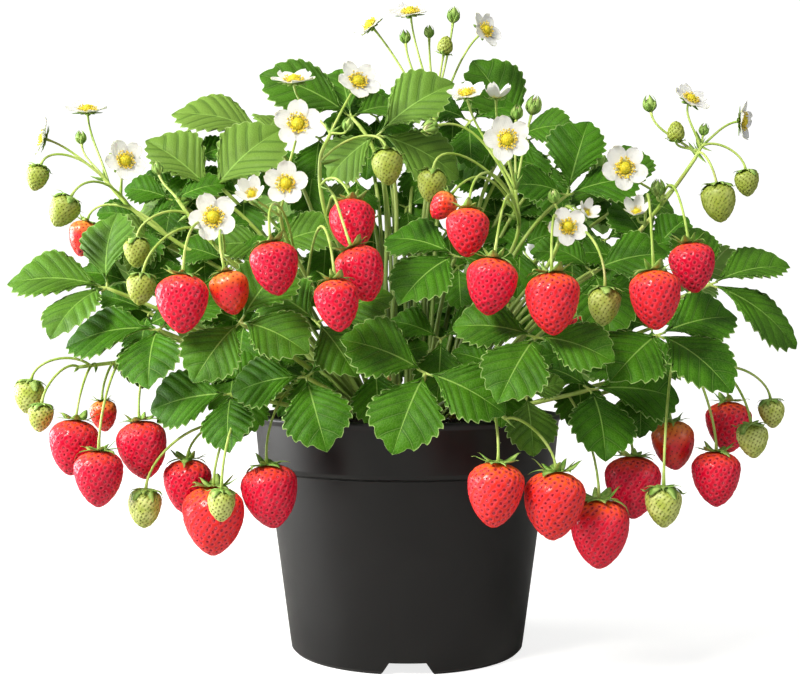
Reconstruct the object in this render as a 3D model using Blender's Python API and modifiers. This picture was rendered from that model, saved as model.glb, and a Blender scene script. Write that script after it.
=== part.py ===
"""A strawberry plant in a round nursery pot: compost, a crown, three-leaflet leaves, flowers and fruit.

The origin is the middle of the pot's foot, on the ground. +Z is up and the plant's best side faces -Y.
"""

import math
import random

import bmesh
import bpy
from mathutils import Matrix, Vector

MM = 0.001
UP = Vector((0.0, 0.0, 1.0))

# Pot: a two-litre nursery pot, 130 mm high and 172 mm across its rim.
POT_HEIGHT = 0.130
RIM_RADIUS = 0.086
COLLAR_RADIUS = 0.0822
COLLAR_BOTTOM = 0.1035
WALL_TOP_RADIUS = 0.0774
FOOT_RADIUS = 0.0643
WALL = 0.0016
FOOT_RING = 0.0045
FLOOR_UNDER = 0.007
TURNED_STEPS = 24
NOTCH_HEIGHT = 0.0065
NOTCH_TOP = 0.019
NOTCH_BOTTOM = 0.0286
NOTCH_DEPTH = 0.022
DRAIN_RADIUS = 0.004
DRAIN_RING = 0.038

# Compost and the crown that stands in a plain hole in it.
FIT = 0.0004
SOIL_TOP = 0.1185
SOIL_LUMP = 0.0016
CROWN_SEAT = 0.1170
CROWN_RADIUS = 0.030
CROWN_HEIGHT = 0.019
NECK_RADIUS = 0.013
NECK_LENGTH = 0.014

# Foliage, flowers and fruit.
BLADE = 0.0006
PETIOLE_RADIUS = 0.0012
PEDUNCLE_RADIUS = 0.0016
PEDICEL_RADIUS = 0.0009
LEAFLET_HALF_WIDTH = 0.42
LEAFLET_WIDEST = 0.58
LEAFLET_ARCH = 0.10
LEAFLET_FOLD = 0.16
LEAFLET_CURL = 0.10
VEIN_SWEEP = 0.10
LEAFLET_STALK = 0.0022
LEAFLET_FOOT = 0.0009
FIRST_TOOTH = 0.16
TOOTHED_SHARE = 0.74
NOTCH_BACK = 0.37
NOTCH_REACH = 0.90
TOOTH_REACH = 1.03
SEAM = 0.0003

COLOURS = {
    "pot plastic": (0.028, 0.028, 0.030, 0.42),
    "compost": (0.035, 0.022, 0.015, 0.95),
    "crown": (0.20, 0.16, 0.06, 0.80),
    "leaf": (0.065, 0.190, 0.025, 0.55),
    "stem": (0.330, 0.450, 0.110, 0.55),
    "petal": (0.900, 0.890, 0.840, 0.60),
    "ripe berry": (0.720, 0.015, 0.035, 0.25),
    "turning berry": (0.800, 0.120, 0.040, 0.30),
    "green berry": (0.560, 0.620, 0.200, 0.40),
}

BERRY_COLOURS = {"ripe": "ripe berry", "turning": "turning berry", "green": "green berry"}
FRUIT_LENGTH = 1.16
# Outline of a petal: turns across it, from the middle of one notch to the next, and reaches.
PETALS = ((0.0, 0.42), (0.14, 0.86), (0.5, 1.0), (0.86, 0.86))

# Leaves. "at" is where the three leaflets meet and "tips" are their tips from there, all in
# millimetres; "face" is the way the upper side looks. Leaves that share a shoot share a foot.
SHOOTS = {
    "leaf_front_middle": [
        {"at": (8, -112, 156), "face": (0, -0.8, 0.6),
         "tips": ((-39, -4, 15), (-15, -20, -36), (36, -8, -19))},
    ],
    "leaf_front_left": [
        {"at": (-49, -102, 154), "face": (-0.1, -0.8, 0.6),
         "tips": ((-35, 4, -9), (11, -18, -34), (30, 24, 12))},
    ],
    "leaf_front_left_low": [
        {"at": (-87, -84, 145), "face": (-0.3, -0.8, 0.5),
         "tips": ((-34, 8, -6), (0, -20, -28), (20, 16, 18))},
    ],
    "leaf_front_left_high": [
        {"at": (-80, -106, 180), "face": (0.1, -0.75, 0.65),
         "tips": ((-19, -16, -28), (33, -14, -15), (20, 20, 28))},
    ],
    "leaf_left_side": [
        {"at": (-126, -70, 177), "face": (-0.2, -0.6, 0.75),
         "tips": ((-47, 8, -10), (1, -27, -29), (32, 14, 12))},
    ],
    "leaf_left_far": [
        {"at": (-158, -45, 199), "face": (-0.3, -0.6, 0.7),
         "tips": ((-51, 2, -2), (1, 12, 48), (-18, -30, -26))},
    ],
    "leaf_left_top": [
        {"at": (-109, 0, 254), "face": (0, -0.8, 0.6),
         "tips": ((37, 12, 36), (-38, 8, 29), (-44, 14, -14))},
    ],
    "leaf_top_left": [
        {"at": (-32, 20, 300), "face": (-0.1, -0.8, 0.6),
         "tips": ((-51, -4, 22), (-8, 28, 32), (30, 26, 8))},
    ],
    "leaf_top_middle": [
        {"at": (-16, -15, 284), "face": (0, -0.85, 0.5),
         "tips": ((41, 2, 27), (-27, 6, -24), (44, 14, -22))},
    ],
    "leaf_top_right": [
        {"at": (89, -5, 252), "face": (0, -0.8, 0.6),
         "tips": ((14, 16, 42), (-32, -8, 4), (41, 6, 8))},
    ],
    "leaf_middle": [
        {"at": (25, -55, 215), "face": (-0.1, -0.65, 0.75),
         "tips": ((-36, 18, 9), (-29, -20, -26), (32, -4, -16))},
    ],
    "leaf_front_right": [
        {"at": (60, -112, 173), "face": (0, -0.75, 0.65),
         "tips": ((-38, 8, 4), (-19, -20, -30), (34, -12, -12))},
    ],
    "leaf_right_front": [
        {"at": (122, -90, 174), "face": (0.15, -0.75, 0.65),
         "tips": ((-27, -24, -22), (29, -24, -27), (40, 10, 8))},
    ],
    "leaf_right_far": [
        {"at": (160, -40, 201), "face": (0.1, -0.6, 0.75),
         "tips": ((43, 6, 8), (44, 0, -34), (-11, 20, 43))},
    ],
    "leaf_right_low": [
        {"at": (92, -78, 150), "face": (0.2, -0.75, 0.6),
         "tips": ((45, 10, -6), (3, -26, -33), (-24, 16, 10))},
    ],
    "shoot_top_right": [
        {"at": (66, 42, 292), "face": (0, -0.8, 0.6),
         "tips": ((33, -14, 10), (-26, 2, 44), (-34, 16, -22))},
        {"at": (128, 22, 251), "face": (0.1, -0.8, 0.6),
         "tips": ((2, 18, 37), (37, 6, 8), (-28, 28, 6))},
    ],
    "shoot_left_high": [
        {"at": (-82, 28, 290), "face": (0, -0.6, 0.8),
         "tips": ((-54, 2, 12), (6, 40, 16), (-16, 34, -26))},
        {"at": (-138, -10, 226), "face": (-0.2, -0.8, 0.6),
         "tips": ((-24, -8, 6), (16, -4, 9), (-12, -16, -18))},
    ],
    "shoot_inner_left": [
        {"at": (-44, -95, 180), "face": (0, -0.8, 0.6),
         "tips": ((19, -12, -26), (36, 4, 12), (-26, 26, 14))},
        {"at": (-74, -12, 222), "face": (0, -0.8, 0.6),
         "tips": ((-32, -4, 0), (6, -14, -24), (36, 2, 10))},
    ],
    "shoot_inner_right": [
        {"at": (58, -88, 144), "face": (0, -0.8, 0.5),
         "tips": ((2, -14, -28), (-20, 8, 2), (18, -4, 6))},
        {"at": (98, -38, 208), "face": (0.1, -0.8, 0.6),
         "tips": ((-20, 8, 12), (6, -22, -36), (38, -4, 8))},
        {"at": (138, 4, 220), "face": (0, -0.8, 0.6),
         "tips": ((-20, 8, 30), (28, 6, 28), (-30, 0, -14))},
    ],
    "shoot_back_left": [
        {"at": (-148, 62, 208), "face": (-0.5, 0.4, 0.75),
         "tips": ((-44, -10, -6), (-22, 36, -8), (14, 12, 38))},
        {"at": (-66, 92, 246), "face": (-0.1, 0.7, 0.7),
         "tips": ((-38, 8, 20), (-4, 42, -10), (36, 18, 14))},
        {"at": (-104, 106, 168), "face": (-0.4, 0.65, 0.6),
         "tips": ((-42, -4, 8), (-12, 32, -28), (32, 24, 8))},
    ],
    "shoot_back_right": [
        {"at": (108, 78, 252), "face": (0.3, 0.6, 0.75),
         "tips": ((34, -8, 26), (20, 38, -12), (-32, 24, 14))},
        {"at": (160, 52, 206), "face": (0.5, 0.4, 0.75),
         "tips": ((42, -8, 10), (26, 34, -12), (-14, 36, 14))},
        {"at": (106, 110, 166), "face": (0.35, 0.65, 0.6),
         "tips": ((40, 0, 8), (12, 34, -26), (-32, 22, 8))},
    ],
    "shoot_back_middle": [
        {"at": (22, 82, 276), "face": (0, 0.6, 0.8),
         "tips": ((-34, 10, 22), (34, 12, 20), (6, 42, -8))},
        {"at": (2, 122, 182), "face": (0, 0.8, 0.6),
         "tips": ((-40, 6, 12), (0, 30, -32), (40, 6, 10))},
    ],
}

# Sprays. "route" is the stalk from the crown and each organ is its kind, middle, direction,
# width in millimetres and where on the stalk its stem leaves, from 0 at the crown to 1 at the end.
SPRAYS = {
    "spray_left_high": [
        {
            "route": ((-70, -12, 188), (-125, -22, 224), (-150, -24, 243), (-167, -26, 262)),
            "organs": (
                ("green", (-197, -35, 257), (-0.25, -0.1, -1), 12, 0.95),
                ("green", (-177, -58, 237), (-0.45, -0.1, -0.9), 15, 0.8),
                ("turning", (-176, -20, 226), (-0.2, 0, -1), 17, 0.62),
                ("flower", (-174, -20, 296), (0.05, -0.25, 1), 23, 0.92),
                ("flower", (-195, -30, 279), (-1, -0.25, 0.25), 22, 0.98),
                ("flower", (-148, -45, 265), (0.4, -0.85, 0.15), 22, 0.85),
                ("bud", (-178, -18, 281), (-0.1, 0, 1), 6, 0.95),
            ),
        },
    ],
    "spray_left_middle": [
        {
            "route": ((-60, -35, 182), (-95, -52, 215), (-110, -58, 232), (-118, -58, 243)),
            "organs": (
                ("bud", (-130, -50, 260), (-0.3, 0, 1), 6, 1.0),
                ("green", (-137, -68, 215), (0, -0.1, -1), 13, 0.85),
                ("green", (-132, -82, 196), (-0.1, -0.1, -1), 14, 0.72),
                ("flower", (-95, -90, 231), (0, -1, 0.1), 24, 0.8),
                ("ripe", (-104, -125, 188), (0, -0.1, -1), 23.5, 0.66, "berry_upper_1"),
                ("turning", (-83, -117, 193), (0.25, 0, -1), 18, 0.6),
            ),
        },
    ],
    "spray_center_left": [
        {
            "route": ((-45, -35, 190), (-62, -55, 222), (-66, -62, 240)),
            "organs": (
                ("flower", (-60, -85, 248), (0, -1, 0.1), 22, 0.95),
                ("half_open", (-78, -75, 244), (-0.1, -0.85, 0.4), 15, 0.9),
                ("flower", (-55, -75, 279), (0, -1, 0.1), 24, 1.0),
                ("ripe", (-61, -130, 204), (0.15, 0, -1), 21.5, 0.7, "berry_upper_2"),
                ("ripe", (-32, -138, 187), (0.1, 0, -1), 20.5, 0.6, "berry_upper_5"),
            ),
        },
        {
            "route": ((-25, -30, 195), (-42, -52, 235), (-45, -58, 262), (-40, -52, 278)),
            "organs": (
                ("flower", (-60, -40, 308), (0, -0.45, 0.9), 24, 1.0),
                ("flower", (-26, -42, 307), (0.35, -0.8, 0.4), 24, 1.0),
                ("green", (-10, -70, 258), (0.1, -0.1, -1), 16, 0.8),
                ("ripe", (-27, -90, 227), (0.1, -0.4, -0.9), 22.5, 0.7, "berry_upper_3"),
                ("ripe", (-22, -118, 202), (0.35, 0, -0.95), 23, 0.6, "berry_upper_4"),
            ),
        },
    ],
    "spray_top": [
        {
            "route": ((5, 12, 200), (13, 22, 270), (16, 22, 302)),
            "organs": (
                ("flower", (-21, 22, 353), (-0.7, -0.1, 0.6), 22, 0.95),
                ("flower", (2, 14, 358), (-0.1, -0.5, 0.85), 24, 1.0),
                ("flower", (45, 15, 348), (0.6, -0.65, 0.3), 22, 0.95),
                ("bud", (-1, 24, 346), (-0.1, 0, 1), 6.5, 0.97),
                ("bud", (27, 22, 358), (0.1, 0, 1), 7.5, 1.0),
                ("green", (22, 12, 339), (0.2, -0.5, 1), 9, 0.98),
            ),
        },
    ],
    "spray_center_right": [
        {
            "route": ((40, -22, 190), (58, -36, 225), (57, -42, 250)),
            "organs": (
                ("flower", (50, -70, 272), (0, -1, 0.1), 24, 1.0),
                ("flower", (31, -45, 300), (-0.15, -0.55, 0.8), 21, 1.0),
                ("half_open", (47, -40, 299), (0.05, -0.3, 0.95), 16, 1.0),
                ("bud", (67, -36, 295), (0.25, -0.1, 1), 8.5, 1.0),
                ("bud", (12, -52, 281), (-0.7, -0.5, -0.3), 8.5, 0.95),
                ("green", (12, -66, 249), (-0.1, -0.1, -1), 14.5, 0.9),
                ("turning", (17, -82, 237), (-0.6, -0.1, -0.8), 13, 0.85),
                ("ripe", (28, -110, 222), (-0.05, -0.1, -1), 20, 0.85, "berry_upper_6"),
                ("ripe", (38, -124, 196), (-0.12, 0, -1), 23, 0.8, "berry_upper_7"),
            ),
        },
    ],
    "spray_right_middle": [
        {
            "route": ((55, -32, 182), (76, -48, 215), (82, -56, 240)),
            "organs": (
                ("flower", (79, -82, 227), (0, -1, 0.15), 20, 0.95),
                ("half_open", (90, -70, 235), (0.4, -0.8, 0.5), 12, 1.0),
                ("ripe", (66, -128, 188), (0.03, 0, -1), 25, 0.8, "berry_upper_8"),
                ("green", (93, -106, 187), (-0.05, 0, -1), 16, 0.85),
            ),
        },
    ],
    "spray_right_high": [
        {
            "route": ((60, -12, 178), (112, -14, 215), (136, -28, 243), (153, -28, 266), (158, -28, 275)),
            "organs": (
                ("flower", (152, -30, 300), (0.35, -0.6, 0.65), 21, 0.97),
                ("flower", (181, -25, 289), (1, -0.35, -0.05), 22, 1.0),
                ("flower", (111, -60, 259), (0, -1, 0.1), 24, 0.68),
                ("half_open", (118, -56, 237), (-0.2, -0.7, 0.6), 14, 0.6),
                ("bud", (131, -25, 298), (-0.15, 0, 1), 7.5, 0.9),
                ("bud", (131, -46, 250), (0, -0.2, 1), 7.5, 0.72),
                ("green", (144, -30, 283), (-0.1, -0.4, 1), 9.5, 0.93),
                ("green", (182, -30, 255), (0.1, 0, -1), 12.5, 1.0),
                ("green", (164, -42, 243), (0.1, -0.1, -1), 18, 0.92),
                ("ripe", (114, -122, 190), (0.05, 0, -1), 24, 0.6, "berry_upper_9"),
                ("ripe", (136, -102, 206), (0.15, 0, -1), 21, 0.66, "berry_upper_10"),
            ),
        },
    ],
    "spray_left_low": [
        {
            "route": ((-55, -25, 152), (-110, -42, 163), (-145, -50, 160), (-170, -54, 157)),
            "organs": (
                ("green", (-194, -60, 142), (-0.15, 0, -1), 15, 0.95),
                ("green", (-184, -74, 132), (-0.1, 0, -1), 12.5, 1.0),
                ("ripe", (-166, -80, 118), (-0.1, 0, -1), 24, 0.92, "berry_left_1"),
                ("turning", (-156, -58, 132), (0.1, 0, -1), 14, 0.85),
                ("ripe", (-148, -102, 105), (0, 0, -1), 23.5, 0.8, "berry_left_2"),
                ("ripe", (-131, -82, 117), (0.12, 0, -1), 25, 0.72, "berry_left_3"),
            ),
        },
    ],
    "spray_left_front": [
        {
            "route": ((-47, -34, 144), (-72, -52, 140), (-91, -74, 127)),
            "organs": (
                ("green", (-128, -92, 89), (-0.05, 0, -1), 16.5, 1.0),
                ("ripe", (-110, -76, 98), (0, 0, -1), 24, 0.95, "berry_left_4"),
                ("ripe", (-94, -96, 84), (0, 0, -1), 29, 0.9, "berry_left_5"),
                ("ripe", (-67, -90, 95), (0.12, 0, -1), 27, 0.6, "berry_left_6"),
            ),
        },
    ],
    "spray_right_front": [
        {
            "route": ((22, -52, 140), (36, -92, 142), (46, -112, 134)),
            "organs": (
                ("ripe", (40, -124, 100), (-0.08, 0, -1), 26, 0.85, "berry_right_1"),
                ("ripe", (68, -116, 94), (-0.05, 0, -1), 28, 1.0, "berry_right_2"),
            ),
        },
    ],
    "spray_right_low": [
        {
            "route": ((55, -28, 148), (96, -48, 142), (130, -55, 157), (158, -58, 155)),
            "organs": (
                ("ripe", (92, -98, 78), (0, 0, -1), 29, 0.5, "berry_right_3"),
                ("ripe", (112, -78, 98), (0, 0, -1), 27, 0.58, "berry_right_4"),
                ("green", (121, -108, 92), (0, 0, -1), 17, 0.85),
                ("turning", (136, -60, 117), (0.1, 0, -1), 22, 0.8),
                ("ripe", (154, -76, 102), (0, 0, -1), 24, 0.9, "berry_right_5"),
                ("ripe", (167, -50, 126), (0, 0, -1), 23, 0.98, "berry_right_6"),
                ("green", (171, -80, 121), (0.1, 0, -1), 15, 1.0),
                ("green", (188, -55, 133), (0.1, 0, -1), 13, 1.0),
            ),
        },
    ],
    "spray_back_left": [
        {
            "route": ((-30, 56, 172), (-60, 92, 194), (-100, 100, 212), (-112, 98, 226)),
            "organs": (
                ("flower", (-126, 88, 254), (-0.4, 0.7, 0.6), 23, 1.0),
                ("ripe", (-136, 116, 194), (-0.1, 0.1, -1), 22, 0.95),
                ("green", (-104, 124, 202), (0, 0.1, -1), 15, 0.85),
            ),
        },
        {
            "route": ((-14, 60, 156), (-28, 98, 160), (-38, 112, 150)),
            "organs": (
                ("ripe", (-48, 122, 108), (-0.1, 0, -1), 25, 1.0),
                ("ripe", (-16, 132, 116), (0, 0.1, -1), 23, 0.8),
            ),
        },
    ],
    "spray_back_right": [
        {
            "route": ((40, 62, 180), (80, 96, 204), (88, 106, 214)),
            "organs": (
                ("flower", (92, 130, 234), (0.2, 0.9, 0.3), 23, 1.0),
                ("ripe", (116, 132, 178), (0.1, 0.1, -1), 23, 0.95),
                ("green", (70, 134, 190), (0, 0.1, -1), 14, 0.85),
            ),
        },
    ],
}

# Where two stems would leave the crown at one place, one is turned round it or leans lower, in degrees.
FOOT_SHIFTS = {
    "spray_right_front": (-8, 0),
    "spray_right_middle": (-4, -4),
    "shoot_inner_right": (6, -2),
    "spray_right_high": (6, 0),
    "spray_right_low": (-2, 5),
    "shoot_left_high": (-4, 0),
}


def clear_scene():
    for old in list(bpy.data.objects):
        bpy.data.objects.remove(old, do_unlink=True)


def add_collection(name, hidden=False):
    collection = bpy.data.collections.new(name)
    collection.hide_render = hidden
    bpy.context.scene.collection.children.link(collection)
    return collection


def finish(name):
    material = bpy.data.materials.get(name)
    if material:
        return material
    red, green, blue, roughness = COLOURS[name]
    material = bpy.data.materials.new(name)
    material.use_nodes = True
    shader = material.node_tree.nodes["Principled BSDF"]
    shader.inputs["Base Color"].default_value = (red, green, blue, 1.0)
    shader.inputs["Roughness"].default_value = roughness
    shader.inputs["Metallic"].default_value = 0.0
    return material


def add_object(name, mesh, material, collection):
    if not mesh.materials:
        mesh.materials.append(finish(material))
    obj = bpy.data.objects.new(name, mesh)
    collection.objects.link(obj)
    return obj


def evaluated_mesh(obj):
    bpy.context.view_layer.update()
    graph = bpy.context.evaluated_depsgraph_get()
    mesh = bpy.data.meshes.new_from_object(obj.evaluated_get(graph), depsgraph=graph)
    mesh.transform(obj.matrix_world)
    return mesh


def replace_with_mesh(obj):
    mesh = evaluated_mesh(obj)
    name = obj.name
    collection = obj.users_collection[0]
    bpy.data.objects.remove(obj, do_unlink=True)
    fresh = bpy.data.objects.new(name, mesh)
    collection.objects.link(fresh)
    return fresh


def turned(name, profile, material, collection, steps=TURNED_STEPS):
    mesh = bpy.data.meshes.new(name)
    points = [(radius, 0.0, height) for radius, height in profile]
    mesh.from_pydata(points, [(i, i + 1) for i in range(len(points) - 1)], [])
    obj = add_object(name, mesh, material, collection)
    screw = obj.modifiers.new("turn", "SCREW")
    screw.steps = steps
    screw.render_steps = steps
    screw.use_merge_vertices = True
    screw.merge_threshold = 0.00005
    return obj


def unite(name, pieces, material, collection):
    """Join closed pieces into one closed body with a single Boolean union."""
    base = pieces[0]
    rest = bpy.data.collections.new(name + " pieces")
    bpy.context.scene.collection.children.link(rest)
    for piece in pieces[1:]:
        for old in piece.users_collection:
            old.objects.unlink(piece)
        rest.objects.link(piece)
    union = base.modifiers.new("join", "BOOLEAN")
    union.operation = "UNION"
    union.operand_type = "COLLECTION"
    union.collection = rest
    union.solver = "EXACT"
    union.material_mode = "TRANSFER"
    mesh = evaluated_mesh(base)
    for piece in pieces:
        bpy.data.objects.remove(piece, do_unlink=True)
    bpy.data.collections.remove(rest)
    return add_object(name, mesh, material, collection)


def notch_cutter(turn, collection):
    shape = bmesh.new()
    bmesh.ops.create_cube(shape, size=1.0)
    for vertex in shape.verts:
        width = NOTCH_TOP if vertex.co.z > 0 else NOTCH_BOTTOM
        vertex.co.x *= width
        vertex.co.y = -FOOT_RADIUS + vertex.co.y * NOTCH_DEPTH
        vertex.co.z = NOTCH_HEIGHT if vertex.co.z > 0 else -0.001
    shape.transform(Matrix.Rotation(turn, 4, "Z"))
    mesh = bpy.data.meshes.new("notch")
    shape.to_mesh(mesh)
    shape.free()
    cutter = bpy.data.objects.new("notch", mesh)
    collection.objects.link(cutter)


def drain_cutter(turn, collection):
    shape = bmesh.new()
    bmesh.ops.create_cone(
        shape, cap_ends=True, segments=8, radius1=DRAIN_RADIUS, radius2=DRAIN_RADIUS, depth=0.02
    )
    bmesh.ops.translate(shape, verts=shape.verts, vec=(DRAIN_RING, 0.0, FLOOR_UNDER))
    shape.transform(Matrix.Rotation(turn, 4, "Z"))
    mesh = bpy.data.meshes.new("drain")
    shape.to_mesh(mesh)
    shape.free()
    cutter = bpy.data.objects.new("drain", mesh)
    collection.objects.link(cutter)


def wall_radius(height):
    """Outer radius of the pot's plain wall at a height."""
    share = (height - 0.002) / (0.100 - 0.002)
    return FOOT_RADIUS + share * (WALL_TOP_RADIUS - FOOT_RADIUS)


def make_pot(collection, cutters):
    floor_top = FLOOR_UNDER + WALL
    profile = [
        (0.0, floor_top),
        (wall_radius(floor_top) - WALL - 0.001, floor_top),
        (wall_radius(0.099) - WALL, 0.099),
        (COLLAR_RADIUS - WALL - 0.0004, COLLAR_BOTTOM + 0.001),
        (RIM_RADIUS - 0.0038, POT_HEIGHT - 0.002),
        (RIM_RADIUS - 0.0028, POT_HEIGHT),
        (RIM_RADIUS - 0.0008, POT_HEIGHT),
        (RIM_RADIUS, POT_HEIGHT - 0.0014),
        (RIM_RADIUS - 0.0016, POT_HEIGHT - 0.0038),
        (COLLAR_RADIUS, COLLAR_BOTTOM),
        (COLLAR_RADIUS - 0.0012, COLLAR_BOTTOM - 0.002),
        (WALL_TOP_RADIUS, 0.100),
        (FOOT_RADIUS, 0.002),
        (FOOT_RADIUS - 0.002, 0.0),
        (FOOT_RADIUS - FOOT_RING - 0.002, 0.0),
        (FOOT_RADIUS - FOOT_RING - 0.003, FLOOR_UNDER),
        (0.0, FLOOR_UNDER),
    ]
    pot = turned("pot", profile, "pot plastic", collection)
    for quarter in range(4):
        notch_cutter(quarter * math.pi / 2, cutters)
        drain_cutter((quarter + 0.5) * math.pi / 2, cutters)
    cut = pot.modifiers.new("drainage", "BOOLEAN")
    cut.operation = "DIFFERENCE"
    cut.operand_type = "COLLECTION"
    cut.collection = cutters
    cut.solver = "EXACT"
    return pot


def make_soil(collection):
    hole = NECK_RADIUS + FIT
    bottom = FLOOR_UNDER + WALL + FIT
    collar_inside = RIM_RADIUS - 0.0038 - FIT
    profile = [
        (0.0, CROWN_SEAT - NECK_LENGTH - FIT),
        (hole, CROWN_SEAT - NECK_LENGTH - FIT),
        (hole, CROWN_SEAT),
        (CROWN_RADIUS + 0.003, CROWN_SEAT),
        (0.054, SOIL_TOP + 0.0005),
        (collar_inside - 0.004, SOIL_TOP),
        (collar_inside - 0.001, SOIL_TOP - 0.002),
        (COLLAR_RADIUS - WALL - 0.0004 - FIT, COLLAR_BOTTOM + 0.001),
        (wall_radius(0.099) - WALL - FIT, 0.0986),
        (wall_radius(bottom) - WALL - 0.001 - FIT, bottom),
        (0.0, bottom),
    ]
    turned_soil = turned("soil", profile, "compost", collection)
    soil = replace_with_mesh(turned_soil)
    draw = random.Random(4)
    for vertex in soil.data.vertices:
        reach = math.hypot(vertex.co.x, vertex.co.y)
        if vertex.co.z > SOIL_TOP - 0.0005 and reach > CROWN_RADIUS + 0.01:
            vertex.co.z += draw.uniform(-SOIL_LUMP, SOIL_LUMP)
    return soil


def make_crown(collection):
    rings = 4
    profile = [(0.0, CROWN_SEAT + CROWN_HEIGHT)]
    for ring in range(1, rings + 1):
        angle = ring / rings * math.pi / 2
        profile.append((CROWN_RADIUS * math.sin(angle), CROWN_SEAT + CROWN_HEIGHT * math.cos(angle)))
    profile[-1] = (CROWN_RADIUS, CROWN_SEAT + FIT)
    profile += [
        (NECK_RADIUS, CROWN_SEAT + FIT),
        (NECK_RADIUS - 0.002, CROWN_SEAT - NECK_LENGTH),
        (0.0, CROWN_SEAT - NECK_LENGTH),
    ]
    return turned("crown", profile, "crown", collection, steps=16)


def crown_foot(name, target):
    """The point of the crown that looks toward the target, just off its surface, and the way out."""
    turn, drop = FOOT_SHIFTS.get(name, (0, 0))
    reach = math.hypot(target.x, target.y)
    rise = math.atan2(target.z - CROWN_SEAT, reach)
    polar = max(math.radians(12), min(math.radians(76), math.pi / 2 - rise * 0.9)) + math.radians(drop)
    azimuth = math.atan2(target.y, target.x) + math.radians(turn)
    around = Vector((math.cos(azimuth), math.sin(azimuth), 0.0))
    point = around * CROWN_RADIUS * math.sin(polar) + UP * (CROWN_SEAT + CROWN_HEIGHT * math.cos(polar))
    outward = around * math.sin(polar) / CROWN_RADIUS + UP * math.cos(polar) / CROWN_HEIGHT
    outward.normalize()
    return point + outward * SEAM, outward


def bezier(start, first, second, end, spans):
    points = []
    for step in range(spans + 1):
        t = step / spans
        s = 1.0 - t
        points.append(start * s**3 + first * (3 * s * s * t) + second * (3 * s * t * t) + end * t**3)
    return points


def through(points, spans):
    """A smooth curve through the given points, with a few spans between each two."""
    padded = [points[0] * 2 - points[1]] + list(points) + [points[-1] * 2 - points[-2]]
    curve = []
    for k in range(1, len(padded) - 2):
        before, here, there, after = padded[k - 1 : k + 3]
        for step in range(spans):
            t = step / spans
            curve.append(
                0.5
                * (
                    here * 2
                    + (there - before) * t
                    + (before * 2 - here * 5 + there * 4 - after) * t**2
                    + (here * 3 - before - there * 3 + after) * t**3
                )
            )
    curve.append(points[-1].copy())
    return curve


class Shape:
    """Vertices and triangles of one closed body, grown ring by ring."""

    def __init__(self):
        self.vertices = []
        self.faces = []

    def loop(self, points):
        """Adds (point, turn) pairs, turns rising from 0 to 1, and returns (index, turn) pairs."""
        first = len(self.vertices)
        self.vertices += [point for point, turn in points]
        return [(first + k, turn) for k, (point, turn) in enumerate(points)]

    def band(self, low, high):
        """Triangles between two closed loops, whatever their counts."""
        i = 0
        j = 0
        while i < len(low) or j < len(high):
            low_turn = low[i + 1][1] if i + 1 < len(low) else low[0][1] + 1
            high_turn = high[j + 1][1] if j + 1 < len(high) else high[0][1] + 1
            here = low[i % len(low)][0]
            there = high[j % len(high)][0]
            if j == len(high) or (i < len(low) and low_turn <= high_turn + 1e-9):
                self.faces.append((here, low[(i + 1) % len(low)][0], there))
                i += 1
            else:
                self.faces.append((here, high[(j + 1) % len(high)][0], there))
                j += 1

    def tip(self, low, point):
        """A fan from the loop to a point."""
        end = len(self.vertices)
        self.vertices.append(point)
        for k in range(len(low)):
            self.faces.append((low[k][0], low[(k + 1) % len(low)][0], end))

    def close_start(self, loop):
        self.faces.append(tuple(index for index, turn in reversed(loop)))

    def close_end(self, loop):
        self.faces.append(tuple(index for index, turn in loop))

    def placed(self, name, material, collection):
        mesh = bpy.data.meshes.new(name)
        mesh.from_pydata(self.vertices, [], self.faces)
        return add_object(name, mesh, material, collection)


class Frame:
    """A place and three directions: across, up and along, with along the way the stem grows."""

    def __init__(self, place, along, hint):
        self.place = place
        self.along = along.normalized()
        self.across = (hint - self.along * hint.dot(self.along)).normalized()
        self.up = self.along.cross(self.across)

    def point(self, radius, turn, height):
        angle = 2 * math.pi * turn
        flat = self.across * math.cos(angle) + self.up * math.sin(angle)
        return self.place + flat * radius + self.along * height

    def circle(self, radius, count, height, start=0.0):
        turns = [start + k / count for k in range(count)]
        return [(self.point(radius, turn, height), turn) for turn in turns]


def grow_stem(shape, points, radius, taper, sides, first_way, last_way):
    """Adds a tapering stem along the points. Returns its last loop and the frame there."""
    hint = UP if abs(first_way.normalized().z) < 0.9 else Vector((1.0, 0.0, 0.0))
    before = None
    for k, point in enumerate(points):
        ahead = points[min(k + 1, len(points) - 1)] - points[max(k - 1, 0)]
        if k == 0:
            ahead = first_way
        if k == len(points) - 1:
            ahead = last_way
        frame = Frame(point, ahead, hint)
        hint = frame.across
        size = radius * (1.0 + (taper - 1.0) * k / (len(points) - 1))
        ring = shape.loop(frame.circle(size, sides, 0.0))
        if before:
            shape.band(before, ring)
        else:
            shape.close_start(ring)
        before = ring
    return before, frame


def leaflet_outline(share):
    """Half-width of a leaflet at a share of its length, with 1 at its widest."""
    if share < LEAFLET_WIDEST:
        return math.sin(share / LEAFLET_WIDEST * math.pi / 2) ** 1.15
    return math.cos((share - LEAFLET_WIDEST) / (1 - LEAFLET_WIDEST) * math.pi / 2) ** 0.62


def leaflet_frame(tip, face):
    along = tip.normalized()
    over = (face - along * face.dot(along)).normalized()
    return along, over, over.cross(along)


def leaflet_point(base, tip, frame, share, out, half_width):
    """A point of a leaflet: share runs from its base to its tip, out from the rib to the edge."""
    along, over, left = frame
    length = tip.length
    forward = share + VEIN_SWEEP * abs(out) * (1 - share)
    arch = LEAFLET_ARCH * length * 4 * forward * (1 - forward)
    fold = (LEAFLET_FOLD * abs(out) - LEAFLET_CURL * out * out) * half_width
    return base + along * (forward * length) + left * (out * half_width) + over * (arch + fold)


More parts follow.
